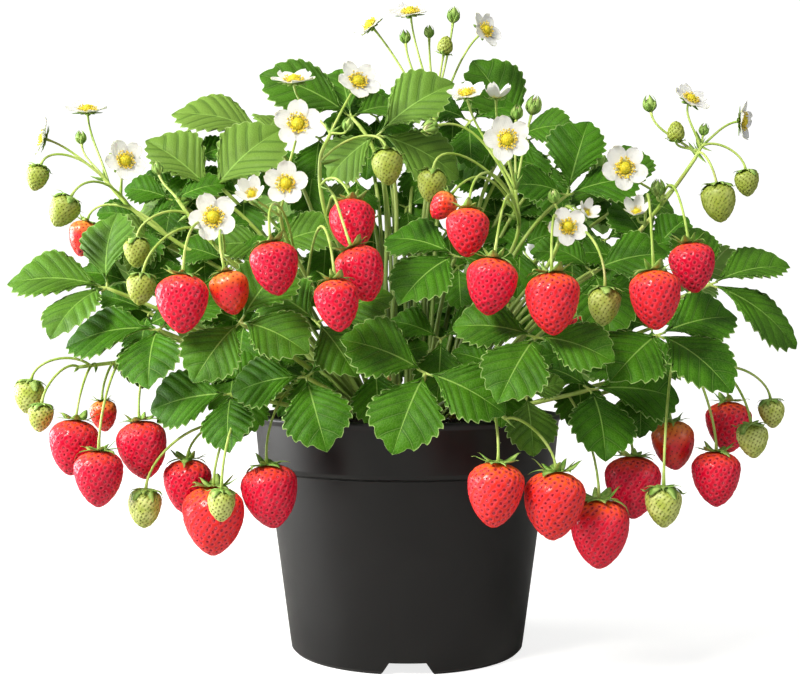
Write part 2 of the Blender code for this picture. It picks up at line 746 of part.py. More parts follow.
def make_sheet(name, leaf, teeth):
    """The three leaflets of a leaf as one open sheet that meets at the middle, and the loop round it."""
    at = Vector(leaf["at"]) * MM
    face = Vector(leaf["face"]).normalized()
    tips = [Vector(tip) * MM for tip in leaf["tips"]]
    east = tips[0] - face * tips[0].dot(face)
    east.normalize()
    north = face.cross(east)
    tips.sort(key=lambda tip: math.atan2(tip.dot(north), tip.dot(east)))
    turns = [math.atan2(tip.dot(north), tip.dot(east)) for tip in tips]
    gaps = [(turns[(k + 1) % 3] - turns[k]) % (2 * math.pi) for k in range(3)]
    widest = gaps.index(max(gaps))
    order = [(widest + 1 + k) % 3 for k in range(3)]
    tips = [tips[k] for k in order]
    vertices = [at]
    faces = []
    bases = []
    for k, tip in enumerate(tips):
        frame = leaflet_frame(tip, face)
        along, over, left = frame
        half = LEAFLET_HALF_WIDTH * tip.length
        sides = {}
        for sign, other in ((1, k + 1), (-1, k - 1)):
            room = 1.0
            if 0 <= other < 3:
                room = min(1.0, 1.25 * math.tan(tip.angle(tips[other]) / 2))
            sides[sign] = half * room
        base = at + along * LEAFLET_STALK
        reach_out = tip - along * LEAFLET_STALK
        rib = [leaflet_point(base, reach_out, frame, share, 0, half) for share in (0.0, 0.5)]
        rib.append(at + tip)
        first_rib = len(vertices)
        vertices.extend(rib)
        edges = {}
        for sign in (1, -1):
            chain = [len(vertices)]
            vertices.append(base + left * (sign * LEAFLET_FOOT))
            for tooth in range(teeth):
                share = FIRST_TOOTH + TOOTHED_SHARE * (tooth + 0.9) / teeth
                notch = share - NOTCH_BACK / teeth
                for place, reach in ((notch, NOTCH_REACH), (share, TOOTH_REACH)):
                    width = sides[sign] * leaflet_outline(place) * reach
                    chain.append(len(vertices))
                    vertices.append(leaflet_point(base, reach_out, frame, place, sign, width))
            edges[sign] = chain
        ribs = list(range(first_rib, first_rib + 3))
        for sign in (1, -1):
            faces += strip(vertices, ribs, edges[sign] + [ribs[-1]], sign)
        bases.append((edges[-1][0], ribs[0], edges[1][0]))
    for k, (right, middle, left_end) in enumerate(bases):
        faces.append((0, right, middle))
        faces.append((0, middle, left_end))
        if k < 2:
            faces.append((0, left_end, bases[k + 1][0]))
    mesh = bpy.data.meshes.new(name)
    mesh.from_pydata(vertices, [], faces)
    return mesh, [index for base in bases for index in base]


def strip(vertices, ribs, edge, sign):
    """Triangles between the rib and one edge, each taking the nearer next point."""
    faces = []
    i = 0
    j = 0
    while i < len(ribs) - 1 or j < len(edge) - 1:
        if ribs[i] == edge[j]:
            break
        step_rib = j == len(edge) - 1
        if not step_rib and i < len(ribs) - 1:
            to_rib = (vertices[ribs[i + 1]] - vertices[edge[j]]).length
            to_edge = (vertices[edge[j + 1]] - vertices[ribs[i]]).length
            step_rib = to_rib < to_edge
        if step_rib:
            triangle = (ribs[i], ribs[i + 1], edge[j])
            i += 1
        else:
            triangle = (ribs[i], edge[j + 1], edge[j])
            j += 1
        if len(set(triangle)) == 3:
            faces.append(triangle if sign > 0 else triangle[::-1])
    return faces


def leaf_solid(name, leaf, foot, outward, way, teeth, collection):
    """A leaf: its stem flares into the middle of the blade, which has the same triangles above and below."""
    sheet, hub = make_sheet(name, leaf, teeth)
    at = Vector(leaf["at"]) * MM
    face = Vector(leaf["face"]).normalized()
    shape = Shape()
    reach = (at - foot).length
    end = at - face * 0.0024
    level = Vector((at.x, at.y, 0.0)).normalized()
    approach = (level * 0.75 + (at - foot).normalized() * 0.5 + face * 0.4).normalized()
    points = bezier(foot, foot + way * reach * 0.4, end - approach * reach * 0.3, end, 4)
    ring, frame = grow_stem(shape, points, PETIOLE_RADIUS, 0.9, 3, outward, face)
    first = len(shape.vertices)
    normals = [vertex.normal.copy() for vertex in sheet.vertices]
    for vertex, normal in zip(sheet.vertices, normals):
        shape.vertices.append(vertex.co + normal * BLADE / 2)
    below = len(shape.vertices)
    for vertex, normal in zip(sheet.vertices, normals):
        shape.vertices.append(vertex.co - normal * BLADE / 2)
    edges = set()
    for polygon in sheet.polygons:
        one, two, three = polygon.vertices
        shape.faces.append((first + one, first + two, first + three))
        if 0 not in (one, two, three):
            shape.faces.append((below + three, below + two, below + one))
        edges |= {(one, two), (two, three), (three, one)}
    for one, two in edges:
        if (two, one) in edges:
            continue
        if one == 0:
            shape.faces.append((first + two, first, below + two))
        elif two == 0:
            shape.faces.append((first, first + one, below + one))
        else:
            shape.faces.append((first + two, first + one, below + one))
            shape.faces.append((first + two, below + one, below + two))
    rim = []
    for index in hub:
        spot = sheet.vertices[index].co - frame.place
        turn = math.atan2(spot.dot(frame.up), spot.dot(frame.across)) / (2 * math.pi)
        rim.append((below + index, turn % 1.0))
    back = (rim[-1][1] + ((rim[0][1] - rim[-1][1]) % 1.0) / 2) % 1.0
    rim.append((first, back))
    start = min(range(len(rim)), key=lambda k: rim[k][1])
    shape.band(ring, rim[start:] + rim[:start])
    bpy.data.meshes.remove(sheet)
    used = sorted({index for face in shape.faces for index in face})
    place = {index: k for k, index in enumerate(used)}
    shape.vertices = [shape.vertices[index] for index in used]
    shape.faces = [tuple(place[index] for index in face) for face in shape.faces]
    return shape.placed(name, "leaf", collection)


def make_shoot(name, leaves, collection):
    pieces = []
    middle = sum((Vector(leaf["at"]) * MM for leaf in leaves), Vector()) / len(leaves)
    foot, outward = crown_foot(name, middle)
    for k, leaf in enumerate(leaves):
        own = (Vector(leaf["at"]) * MM - foot).normalized()
        way = outward if len(leaves) == 1 else (outward + own).normalized()
        aside = own - outward * own.dot(outward)
        aside = aside.normalized() * 0.0006 if len(leaves) > 1 else Vector()
        teeth = leaf.get("teeth", 3 if len(leaves) == 1 else 2)
        pieces.append(leaf_solid(f"{name} {k}", leaf, foot + aside, outward, way, teeth, collection))
    if len(pieces) == 1:
        pieces[0].name = name
        return pieces[0]
    return unite(name, pieces, "leaf", collection)


def fruit_outline(share):
    """Radius of a berry at a share of its length from the top, with 1 at its widest."""
    if share < 0.3:
        return math.sqrt(1 - (1 - share / 0.3) ** 2)
    return (1 - ((share - 0.3) / 0.7) ** 1.8) ** 0.78


def grow_fruit(shape, frame, width, length, sides, rings, before=None):
    """Rings of a berry from its shoulder to its tip, with its pits as relief."""
    loops = []
    for ring in range(rings):
        share = (ring + 0.8) / (rings + 0.5)
        radius = width / 2 * fruit_outline(share)
        circle = frame.circle(radius, sides, share * length, 0.5 * (ring % 2) / sides)
        for k, (point, turn) in enumerate(circle):
            pit = 1.03 if (k + ring // 2) % 2 else 0.96
            middle = frame.place + frame.along * (share * length)
            circle[k] = (middle + (point - middle) * pit, turn)
        loops.append(shape.loop(circle))
    if before is None:
        top = len(shape.vertices)
        shape.vertices.append(frame.place)
        for k in range(sides):
            shape.faces.append((top, loops[0][(k + 1) % sides][0], loops[0][k][0]))
    for low, high in zip(loops, loops[1:]):
        shape.band(low, high)
    shape.tip(loops[-1], frame.place + frame.along * length)
    return loops[0]


def grow_calyx(shape, stem, frame, width, lobes):
    """Pointed sepals round the stem's end, raised toward it; the underside is closed."""
    above = shape.loop(frame.circle(width * 0.2, lobes, -0.0003))
    shape.band(stem, above)
    under = shape.loop(frame.circle(width * 0.2, lobes, 0.0005))
    tips = shape.loop(frame.circle(width * 0.54, lobes, -width * 0.2, 0.5 / lobes))
    for k in range(lobes):
        here = k
        there = (k + 1) % lobes
        tip = tips[k][0]
        shape.faces += [
            (above[here][0], above[there][0], tip),
            (above[here][0], tip, under[here][0]),
            (tip, above[there][0], under[there][0]),
            (under[here][0], tip, under[there][0]),
        ]
    shape.close_end(under)


def grow_capped_fruit(shape, stem, frame, width, length, sides, rings):
    """A berry and its calyx in one body, the sepals standing out of its shoulder."""
    above = shape.loop(frame.circle(width * 0.24, sides, 0.0))
    shape.band(stem, above)
    tips = shape.loop(frame.circle(width * 0.56, sides, -width * 0.1, 0.5 / sides))
    shoulder = grow_fruit(shape, frame, width, length, sides, rings, above)
    for k in range(sides):
        there = (k + 1) % sides
        tip = tips[k][0]
        shape.faces += [
            (above[k][0], above[there][0], tip),
            (above[k][0], tip, shoulder[k][0]),
            (tip, above[there][0], shoulder[there][0]),
            (tip, shoulder[there][0], shoulder[k][0]),
        ]


def grow_flower(shape, stem, frame, width, cup, outline):
    """Five rounded petals round a raised heart. The petal tips rise by the cup's height."""
    edge = []
    for petal in range(5):
        for turn, reach in outline:
            edge.append(((petal + turn) / 5, reach))
    radius = width / 2
    under = [(frame.point(reach * radius, turn, cup * reach * reach), turn) for turn, reach in edge]
    over = [(frame.point(reach * radius, turn, cup * reach * reach + BLADE), turn) for turn, reach in edge]
    low = shape.loop(under)
    high = shape.loop(over)
    shape.band(stem, low)
    shape.band(low, high)
    heart = shape.loop(frame.circle(width * 0.17, 5, 0.0016))
    shape.band(high, heart)
    shape.tip(heart, frame.point(0.0, 0.0, 0.0038))


def grow_bud(shape, stem, frame, width):
    wide = shape.loop(frame.circle(width * 0.5, 5, width * 0.35))
    shape.band(stem, wide)
    high = shape.loop(frame.circle(width * 0.4, 5, width * 0.9, 0.1))
    shape.band(wide, high)
    shape.tip(high, frame.point(0.0, 0.0, width * 1.3))


def organ_solid(name, organ, stalk, collection):
    """A stem with its flower, bud or berry; a berry with a name hangs there as its own object."""
    kind, middle, axis, width, share = organ[:5]
    middle = Vector(middle) * MM
    axis = Vector(axis).normalized()
    width = width * MM
    length = width * FRUIT_LENGTH
    start = stalk[round(share * (len(stalk) - 1))]
    end = middle - axis * (length / 2 if kind in BERRY_COLOURS else width * 0.5 if kind == "bud" else 0.001)
    reach = (end - start).length
    lift = 0.34 if axis.z < -0.2 else 0.04
    first = start + (end - start) * 0.33 + UP * reach * lift
    points = bezier(start, first, end - axis * reach * 0.34, end - axis * 0.001, 3)
    shape = Shape()
    stem, frame = grow_stem(shape, points, PEDICEL_RADIUS, 0.9, 3, first - start, axis)
    frame.place = end
    if kind == "flower":
        grow_flower(shape, stem, frame, width, width * 0.07, PETALS)
    elif kind == "half_open":
        grow_flower(shape, stem, frame, width, width * 0.4, PETALS)
    elif kind == "bud":
        grow_bud(shape, stem, frame, width)
    elif len(organ) > 5:
        grow_calyx(shape, stem, frame, width, 5)
        berry = Shape()
        seat = Frame(end + axis * (0.0005 + SEAM), axis, frame.across)
        grow_fruit(berry, seat, width, length, 8, 4)
        berry.placed(organ[5], BERRY_COLOURS[kind], collection)
    else:
        grow_capped_fruit(shape, stem, frame, width, length, 6, 3)
    colour = "petal" if kind in ("flower", "half_open") else BERRY_COLOURS.get(kind, "stem")
    if len(organ) > 5:
        colour = "stem"
    return shape.placed(name, colour, collection)


def make_spray(name, stalks, collection):
    pieces = []
    middle = sum((Vector(stalk["route"][0]) * MM for stalk in stalks), Vector()) / len(stalks)
    foot, outward = crown_foot(name, middle)
    for k, spec in enumerate(stalks):
        route = [Vector(point) * MM for point in spec["route"]]
        own = (route[0] - foot).normalized()
        aside = UP.cross(outward).normalized() * (k - (len(stalks) - 1) / 2) * 0.0015
        way = outward if len(stalks) == 1 else (outward + own).normalized()
        line = through([foot + aside, foot + aside + way * 0.012] + route, 1)
        shape = Shape()
        ring, frame = grow_stem(shape, line, PEDUNCLE_RADIUS, 0.75, 4, outward, line[-1] - line[-2])
        shape.close_end(ring)
        pieces.append(shape.placed(f"{name} {k} stalk", "stem", collection))
        fine = [here.lerp(there, step / 8) for here, there in zip(line, line[1:]) for step in range(8)]
        for number, organ in enumerate(spec["organs"]):
            pieces.append(organ_solid(f"{name} {k} {number}", organ, fine + [line[-1]], collection))
    return unite(name, pieces, "stem", collection)


def main():
    clear_scene()
    parts = add_collection("potted_strawberry_plant")
    cutters = add_collection("cutters", hidden=True)
    make_pot(parts, cutters)
    for cutter in cutters.objects:
        cutter.hide_render = True
        cutter.display_type = "WIRE"
    make_soil(parts)
    make_crown(parts)
    for name, leaves in SHOOTS.items():
        make_shoot(name, leaves, parts)
    for name, stalks in SPRAYS.items():
        make_spray(name, stalks, parts)
    for part in parts.objects:
        part.data.shade_smooth()
        part.data.set_sharp_from_angle(angle=math.radians(35))


main()
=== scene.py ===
# A potted strawberry plant in flower and fruit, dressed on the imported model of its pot, stems and fruit.
# Everything is in metres; the plan of the plant below is in millimetres from the middle of the pot's foot.
import math
import random

import bmesh
import bpy
import numpy as np
from mathutils import Matrix


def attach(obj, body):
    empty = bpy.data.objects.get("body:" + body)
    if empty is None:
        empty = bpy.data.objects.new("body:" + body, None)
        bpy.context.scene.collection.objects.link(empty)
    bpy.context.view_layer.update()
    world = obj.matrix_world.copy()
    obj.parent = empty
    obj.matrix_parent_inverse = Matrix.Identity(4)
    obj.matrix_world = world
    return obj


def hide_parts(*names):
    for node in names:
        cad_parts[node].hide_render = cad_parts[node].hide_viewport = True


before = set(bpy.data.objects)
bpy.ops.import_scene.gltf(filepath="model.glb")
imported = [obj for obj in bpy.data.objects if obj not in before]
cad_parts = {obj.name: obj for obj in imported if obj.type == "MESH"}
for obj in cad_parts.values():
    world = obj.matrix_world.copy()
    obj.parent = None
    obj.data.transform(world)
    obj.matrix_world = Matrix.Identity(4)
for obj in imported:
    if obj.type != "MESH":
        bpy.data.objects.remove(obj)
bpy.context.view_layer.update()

mm = 0.001
fullTurn = 2 * math.pi
goldenTurn = math.pi * (3 - math.sqrt(5))
up = np.array([0.0, 0.0, 1.0])


# Vectors and curves.


def vec(*values):
    return np.array(values, float)


def unit(way):
    return way / max(np.linalg.norm(way), 1e-12)


# Each row of a list of vectors at length one.
def units(ways):
    return ways / np.maximum(np.linalg.norm(ways, axis=-1, keepdims=True), 1e-12)


def smooth(low, high, value):
    share = np.clip((value - low) / (high - low), 0.0, 1.0)
    return share * share * (3 - 2 * share)


def bezier(start, first, second, end, spans):
    t = np.linspace(0, 1, spans + 1)[:, None]
    s = 1 - t
    return start * s**3 + first * (3 * s * s * t) + second * (3 * s * t * t) + end * t**3


# A smooth line through all the points, with so many spans between each two.
def through(points, spans):
    points = np.array(points)
    padded = np.vstack([points[0] * 2 - points[1], points, points[-1] * 2 - points[-2]])
    line = []
    for k in range(1, len(padded) - 2):
        before, here, there, after = padded[k - 1 : k + 3]
        for t in np.arange(spans) / spans:
            bend = (before * 2 - here * 5 + there * 4 - after) * t**2
            twist = (here * 3 - before - there * 3 + after) * t**3
            line.append(0.5 * (here * 2 + (there - before) * t + bend + twist))
    return np.array(line + [points[-1]])


# Three directions at a place: along, and two across it.
def framed(along, hint):
    along = unit(along)
    if abs(along @ unit(hint)) > 0.97:
        hint = vec(1, 0.1, 0) if abs(along[2]) > 0.8 else up
    across = unit(hint - along * (hint @ along))
    return across, np.cross(along, across), along


# The way out from an axis at one turn, or at each of many.
def wayOut(turn, across, side):
    turn = np.asarray(turn)[..., None]
    return np.cos(turn) * across + np.sin(turn) * side


# A line that leaves a place along two ways at once, by so much at each point.
def lineOut(start, first, firstRun, second, secondRun):
    return start + first * firstRun[:, None] + second * secondRun[:, None]


def anyWay(draw, height):
    return vec(draw.uniform(-1, 1), draw.uniform(-1, 1), height)


# Meshes are gathered as arrays of points and faces, each with its finish, and made into one object.


def newParts():
    return {"points": [], "faces": [], "finishes": [], "places": [], "count": 0}


# place is the pattern's own coordinates at each point. The last of the three is the organ's own chance. The
# first two are the vein's row and the way out on a leaflet, the way along and round a stem, along and across
# a blade or petal, and along a fruit and into its nearest pit.
def addPart(parts, points, faces, finish, place=None):
    points = np.asarray(points, float).reshape(-1, 3)
    if place is None:
        place = np.zeros_like(points)
    for block in faces if isinstance(faces, list) else [faces]:
        block = np.asarray(block, int)
        if len(block):
            parts["faces"].append(block + parts["count"])
            parts["finishes"].append((finish, len(block)))
    parts["points"].append(points)
    parts["places"].append(np.broadcast_to(place, points.shape))
    parts["count"] += len(points)


# Quads of a grid of rows and columns; a closed one joins its last column to its first.
def gridFaces(rows, columns, closed=False):
    across = columns if closed else columns - 1
    row, column = np.meshgrid(np.arange(rows - 1), np.arange(across), indexing="ij")
    first, there = row * columns, (column + 1) % columns
    corners = [first + column, first + there, first + columns + there, first + columns + column]
    return np.stack(corners, axis=-1).reshape(-1, 4)


def fanFaces(first, columns, tip):
    k = np.arange(columns)
    return np.stack([first + k, first + (k + 1) % columns, np.full(columns, tip)], axis=-1)


# A closed body: its rings of points, then the point before the first ring and the one past the last.
def addBody(parts, points, rows, columns, finish, place=None, turned=False):
    last = rows * columns
    caps = np.vstack([fanFaces(0, columns, last)[:, ::-1], fanFaces(last - columns, columns, last + 1)])
    blocks = [gridFaces(rows, columns, closed=True), caps]
    addPart(parts, points, [block[:, ::-1] for block in blocks] if turned else blocks, finish, place)


# A round stem along a line, closed at both ends. Its place is (share along, turn, chance).
def addTube(parts, line, radii, sides, finish, chance=0.0):
    count = len(line)
    ways = units(np.gradient(line, axis=0))
    across = framed(ways[0], up)[0]
    rings = []
    turns = np.arange(sides) / sides
    for k in range(count):
        across = unit(across - ways[k] * (across @ ways[k]))
        circle = wayOut(turns * fullTurn, across, np.cross(ways[k], across))
        rings.append(line[k] + circle * radii[k])
    points = np.vstack(rings + [line[:1] - ways[0] * radii[0] * 0.4, line[-1:] + ways[-1] * radii[-1] * 0.6])
    shares = np.repeat(np.linspace(0, 1, count), sides)
    place = np.column_stack([shares, np.tile(turns, count), np.full(count * sides, chance)])
    place = np.vstack([place, [0, 0, chance], [1, 0, chance]])
    addBody(parts, points, count, sides, finish, place)


# A narrow pointed blade with a low ridge on both faces, for sepals, bracts, scales and stipules.
def addBlade(parts, line, widths, thickness, over, finish, chance=0.0):
    count = len(line)
    rings = []
    for k, along in enumerate(units(np.gradient(line, axis=0))):
        rise = unit(over - along * (over @ along))
        side = np.cross(along, rise) * widths[k]
        rise = rise * thickness * min(1.0, widths[k] / max(widths) + 0.25)
        rings.append([line[k] + side, line[k] - rise, line[k] - side, line[k] + rise])
    shares = np.repeat(np.linspace(0, 1, count), 4)
    place = np.column_stack([shares, np.tile([1, 0, 1, 0], count), np.full(count * 4, chance)])
    last = count * 4
    ends = np.array([[3, 2, 1, 0], [last - 4, last - 3, last - 2, last - 1]])
    addPart(parts, np.array(rings), [gridFaces(count, 4, closed=True), ends], finish, place)


def sheetNormals(middle):
    return units(np.cross(np.gradient(middle, axis=0), np.gradient(middle, axis=1)))


# The points in order round a grid's edge. A leaflet ends in one point beyond the grid's last row.
def gridRim(rows, columns, tip=None):
    k = np.arange(rows * columns).reshape(rows, columns)
    rest = [k[-1, -2::-1], k[-2:0:-1, 0]] if tip is None else [[tip], k[:0:-1, 0]]
    return np.concatenate([k[0], k[1:, -1], *rest])


# A thin sheet: its upper skin, its lower one, and the cut edge between them, which has points of its own so
# that the skins stay flat at it.
def addSheet(parts, top, under, faces, rim, skins, place, turned):
    back = [block[:, ::-1] for block in faces]
    addPart(parts, top, back if turned else faces, skins[0], place)
    addPart(parts, under, faces if turned else back, skins[1], place)
    count = len(rim)
    k = np.arange(count)
    ahead = np.roll(k, -1)
    strip = np.stack([k, ahead, ahead + count, k + count], axis=-1)
    addPart(parts, np.vstack([top[rim], under[rim]]), strip if turned else strip[:, ::-1], skins[2])


# A small pointed grain: six corners, eight faces.
grainCorners = np.array([[1, 0, 0], [0, 1, 0], [-1, 0, 0], [0, -1, 0], [0, 0, 1], [0, 0, -1]], float)
grainFaces = np.vstack([fanFaces(0, 4, 4), fanFaces(0, 4, 5)[:, [1, 0, 2]]])


# Many grains at once; ways holds each grain's three half-axes as rows.
def addGrains(parts, centres, ways, finish, chance=0.0):
    centres = np.asarray(centres)
    ways = np.array(ways)
    ways[:, 0] *= np.sign(np.linalg.det(ways))[:, None]
    points = centres[:, None, :] + np.einsum("cj,njk->nck", grainCorners, ways)
    faces = (grainFaces[None] + np.arange(len(centres))[:, None, None] * len(grainCorners)).reshape(-1, 3)
    addPart(parts, points, faces, finish, vec(0.5, 0.5, chance))


# Soft upright hairs, one to each gap's length of stem.
downForm = {"gap": 1.8 * mm, "length": 0.9 * mm, "width": 0.035 * mm}


def addHairs(parts, line, radius, draw):
    form = downForm
    centres, ways = [], []
    for k in range(len(line) - 1):
        step = line[k + 1] - line[k]
        across, side, along = framed(step, up)
        for hair in range(round(np.linalg.norm(step) / form["gap"])):
            outward = wayOut(draw.uniform(0, fullTurn), across, side)
            lie = unit(outward + along * draw.uniform(-0.3, 0.5))
            half = form["length"] * draw.uniform(0.35, 0.6)
            centres.append(line[k] + step * draw.random() + outward * radius + lie * half * 0.9)
            ways.append([along * form["width"], np.cross(along, lie) * form["width"], lie * half])
    if centres:
        addGrains(parts, centres, ways, "softDown")


triangleCounts = {}


def makeObject(name, parts, slot, *replaced):
    blocks = parts["faces"]
    corners = np.concatenate([block.ravel() for block in blocks])
    cornerCounts = np.concatenate([np.full(len(block), block.shape[1]) for block in blocks])
    used = sorted({finish for finish, count in parts["finishes"]})
    finishSlots = np.concatenate([np.full(count, used.index(finish)) for finish, count in parts["finishes"]])
    mesh = bpy.data.meshes.new(name)
    mesh.vertices.add(parts["count"])
    mesh.vertices.foreach_set("co", np.concatenate(parts["points"]).astype(np.float32).ravel())
    mesh.loops.add(len(corners))
    mesh.loops.foreach_set("vertex_index", corners.astype(np.int32))
    mesh.polygons.add(len(cornerCounts))
    mesh.polygons.foreach_set("loop_start", (np.cumsum(cornerCounts) - cornerCounts).astype(np.int32))
    for finish in used:
        mesh.materials.append(finishes[finish])
    mesh.polygons.foreach_set("material_index", finishSlots.astype(np.int32))
    mesh.polygons.foreach_set("use_smooth", np.ones(len(cornerCounts), bool))
    place = mesh.attributes.new("place", "FLOAT_VECTOR", "POINT")
    place.data.foreach_set("vector", np.concatenate(parts["places"]).astype(np.float32).ravel())
    mesh.update(calc_edges=True)
    triangleCounts[name] = int((cornerCounts - 2).sum())
    piece = bpy.data.objects.new(name, mesh)
    bpy.context.scene.collection.objects.link(piece)
    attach(piece, "root")
    if replaced:
        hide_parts(*replaced)
    return piece


# Materials. Colours are sRGB hex values, and each finish starts from what the real surface is.


def linear(hexText):
    values = [int(hexText[k : k + 2], 16) / 255 for k in (1, 3, 5)]
    values = [v / 12.92 if v <= 0.04045 else ((v + 0.055) / 1.055) ** 2.4 for v in values]
    return (*values, 1.0)


finishes = {}


def newFinish(name, colour, roughness, ior, others=None):
    material = bpy.data.materials.new(name)
    material.use_nodes = True
    shader = material.node_tree.nodes["Principled BSDF"]
    settings = {"Base Color": linear(colour), "Roughness": roughness, "IOR": ior, **(others or {})}
    for socket, value in settings.items():
        shader.inputs[socket].default_value = value
    finishes[name] = material
    return material.node_tree, shader


# One node with its settings and what feeds it: an input takes a socket, a number or a colour. It gives back
# the output asked for.
def addNode(tree, kind, inputs, output=0, **settings):
    node = tree.nodes.new("ShaderNode" + kind)
    for name, value in settings.items():
        setattr(node, name, value)
    for name, value in inputs.items():
        if isinstance(value, bpy.types.NodeSocket):
            tree.links.new(value, node.inputs[name])
        else:
            node.inputs[name].default_value = value
    return node.outputs[output] if node.outputs else None


# The pattern's own three coordinates, as addPart stored them.
def ownPlace(tree):
    place = addNode(tree, "Attribute", {}, "Vector", attribute_name="place", attribute_type="GEOMETRY")
    return addNode(tree, "SeparateXYZ", {0: place}).node.outputs


# Where a point lies on the object, in metres.
def objectPlace(tree):
    place = addNode(tree, "TexCoord", {}, "Object")
    return addNode(tree, "SeparateXYZ", {0: place}).node.outputs


# Cloudy variation in patches of about one size, in metres.
def mottle(tree, size, detail=2.0, roughness=0.5):
    place = addNode(tree, "TexCoord", {}, "Object")
    inputs = {"Vector": place, "Scale": 1 / size, "Detail": detail, "Roughness": roughness}
    return addNode(tree, "TexNoise", inputs)


# How much of something shows: the product of its steps. A step is a socket, or a value with its two limits
# and the shares at them, and is smooth between those.
def shareOf(tree, *steps):
    share = None
    for step in steps:
        if isinstance(step, tuple):
            limits = dict(enumerate(step))
            step = addNode(tree, "MapRange", limits, interpolation_type="SMOOTHSTEP")
        share = step if share is None else addNode(tree, "Math", {0: share, 1: step}, operation="MULTIPLY")
    return share


# Lays colours over a finish's own, each with the steps of how much it shows, and gives the skin its relief.
def layColours(tree, shader, layers, height=None, depth=0.0):
    colour = tuple(shader.inputs["Base Color"].default_value)
    for tint, *steps in layers:
        inputs = {0: shareOf(tree, *steps), 6: colour, 7: linear(tint)}
        colour = addNode(tree, "Mix", inputs, 2, data_type="RGBA")
    tree.links.new(colour, shader.inputs["Base Color"])
    if height:
        tree.links.new(addNode(tree, "Bump", {"Height": height, "Distance": depth}), shader.inputs["Normal"])


# Fine ribs round a stem or across a petal.
def ribs(tree, turn, count):
    angle = addNode(tree, "Math", {0: turn, 1: fullTurn * count}, operation="MULTIPLY")
    return addNode(tree, "Math", {0: angle}, operation="SINE")


# How far a point of a leaflet is from the nearest side vein, in rows: 0 on the vein and 0.5 between two.
def fromVeins(tree, row):
    shifted = addNode(tree, "Math", {0: row, 1: 0.5}, operation="ADD")
    phase = addNode(tree, "Math", {0: shifted}, operation="FRACT")
    centred = addNode(tree, "Math", {0: phase, 1: 0.5}, operation="SUBTRACT")
    return addNode(tree, "Math", {0: centred}, operation="ABSOLUTE")


# A living leaf's upper skin: waxy, so satin, darker in the pads between its veins, which lie in grooves;
# painted shade darkens the skin along each side vein's groove.
leafLook = {
    "deep": "#1a4403", "green": "#3c700a", "youngTintAndSheen": "#7c9a42", "vein": "#8ab252", "edge": "#b2cc80",
    "paintedGrooveShade": "#123c02", "underside": "#6d983c", "felt": "#5c8730", "paleVein": "#a3c06a",
    "roughness": 0.46, "sheen": 0.15, "veinWidth": 0.030, "ribWidth": 0.024, "padSize": 1.5 * mm,
}


def leafUpperFinish(look):
    sheen = {"Specular IOR Level": look["sheen"]}
    tree, shader = newFinish("leafUpperSkin", look["deep"], look["roughness"], 1.43, sheen)
    row, out, chance = ownPlace(tree)
    fromVein = fromVeins(tree, row)
    place = addNode(tree, "TexCoord", {}, "Object")
    inputs = {"Vector": place, "Scale": 1 / look["padSize"]}
    pads = addNode(tree, "TexVoronoi", inputs, "Distance", feature="DISTANCE_TO_EDGE")
    net = shareOf(tree, (pads, 0.0, 0.16, 0.0, 1.0))
    sideVein = shareOf(tree, (fromVein, look["veinWidth"] * 0.3, look["veinWidth"] * 1.5, 0.30, 0.0))
    rib = shareOf(tree, (out, look["ribWidth"] * 0.4, look["ribWidth"] * 1.4, 0.85, 0.0))
    padHeight = addNode(tree, "Math", {0: net, 1: 0.5}, operation="MULTIPLY")
    height = addNode(tree, "Math", {0: sideVein, 1: -0.8, 2: padHeight}, operation="MULTIPLY_ADD")
    layers = [
        (look["green"], (mottle(tree, 14 * mm, 3.0), 0.3, 0.6, 0.35, 1.0)),
        # The pale young tint: partly the leaf's own younger tone, partly a painted sheen on leaves set pale
        # in the plan.
        (look["youngTintAndSheen"], (chance, 0.2, 1.0, 0.0, 0.9)),
        (look["vein"], (net, 0.0, 1.0, 0.10, 0.0)),
        # Painted shade: the skin is darkened in the groove along each side vein.
        (look["paintedGrooveShade"], (fromVein, 0.02, 0.18, 0.55, 0.0), (out, 0.98, 0.8, 0.0, 1.0)),
        (look["vein"], addNode(tree, "Math", {0: sideVein, 1: rib}, operation="MAXIMUM")),
        (look["edge"], (out, 0.965, 1.0, 0.0, 0.6)),
    ]
    layColours(tree, shader, layers, height, 0.16 * mm)


# The underside is paler and matt, because of its felt of fine hairs, and its veins stand proud.
def leafUnderFinish(look):
    tree, shader = newFinish("leafUnderSkin", look["underside"], 0.7, 1.4)
    row, out, chance = ownPlace(tree)
    vein = shareOf(tree, (fromVeins(tree, row), 0.02, 0.09, 1.0, 0.0))
    felt = (mottle(tree, 6 * mm), 0.3, 0.7, 0.0, 0.5)
    layColours(tree, shader, [(look["felt"], felt), (look["paleVein"], vein)], vein, 0.2 * mm)


# Fresh stems: smooth juicy green with fine ribs along them, flushed brown-red here and there. Those deep
# inside the plant, near its middle and below its top, are darkened with painted shade.
stemLook = {
    "green": "#96b446", "light": "#bcd070", "flush": "#9a8450", "paintedShade": "#56702a", "roughness": 0.42,
    "shadeReach": (40 * mm, 100 * mm), "shadeHeight": (200 * mm, 270 * mm),
}


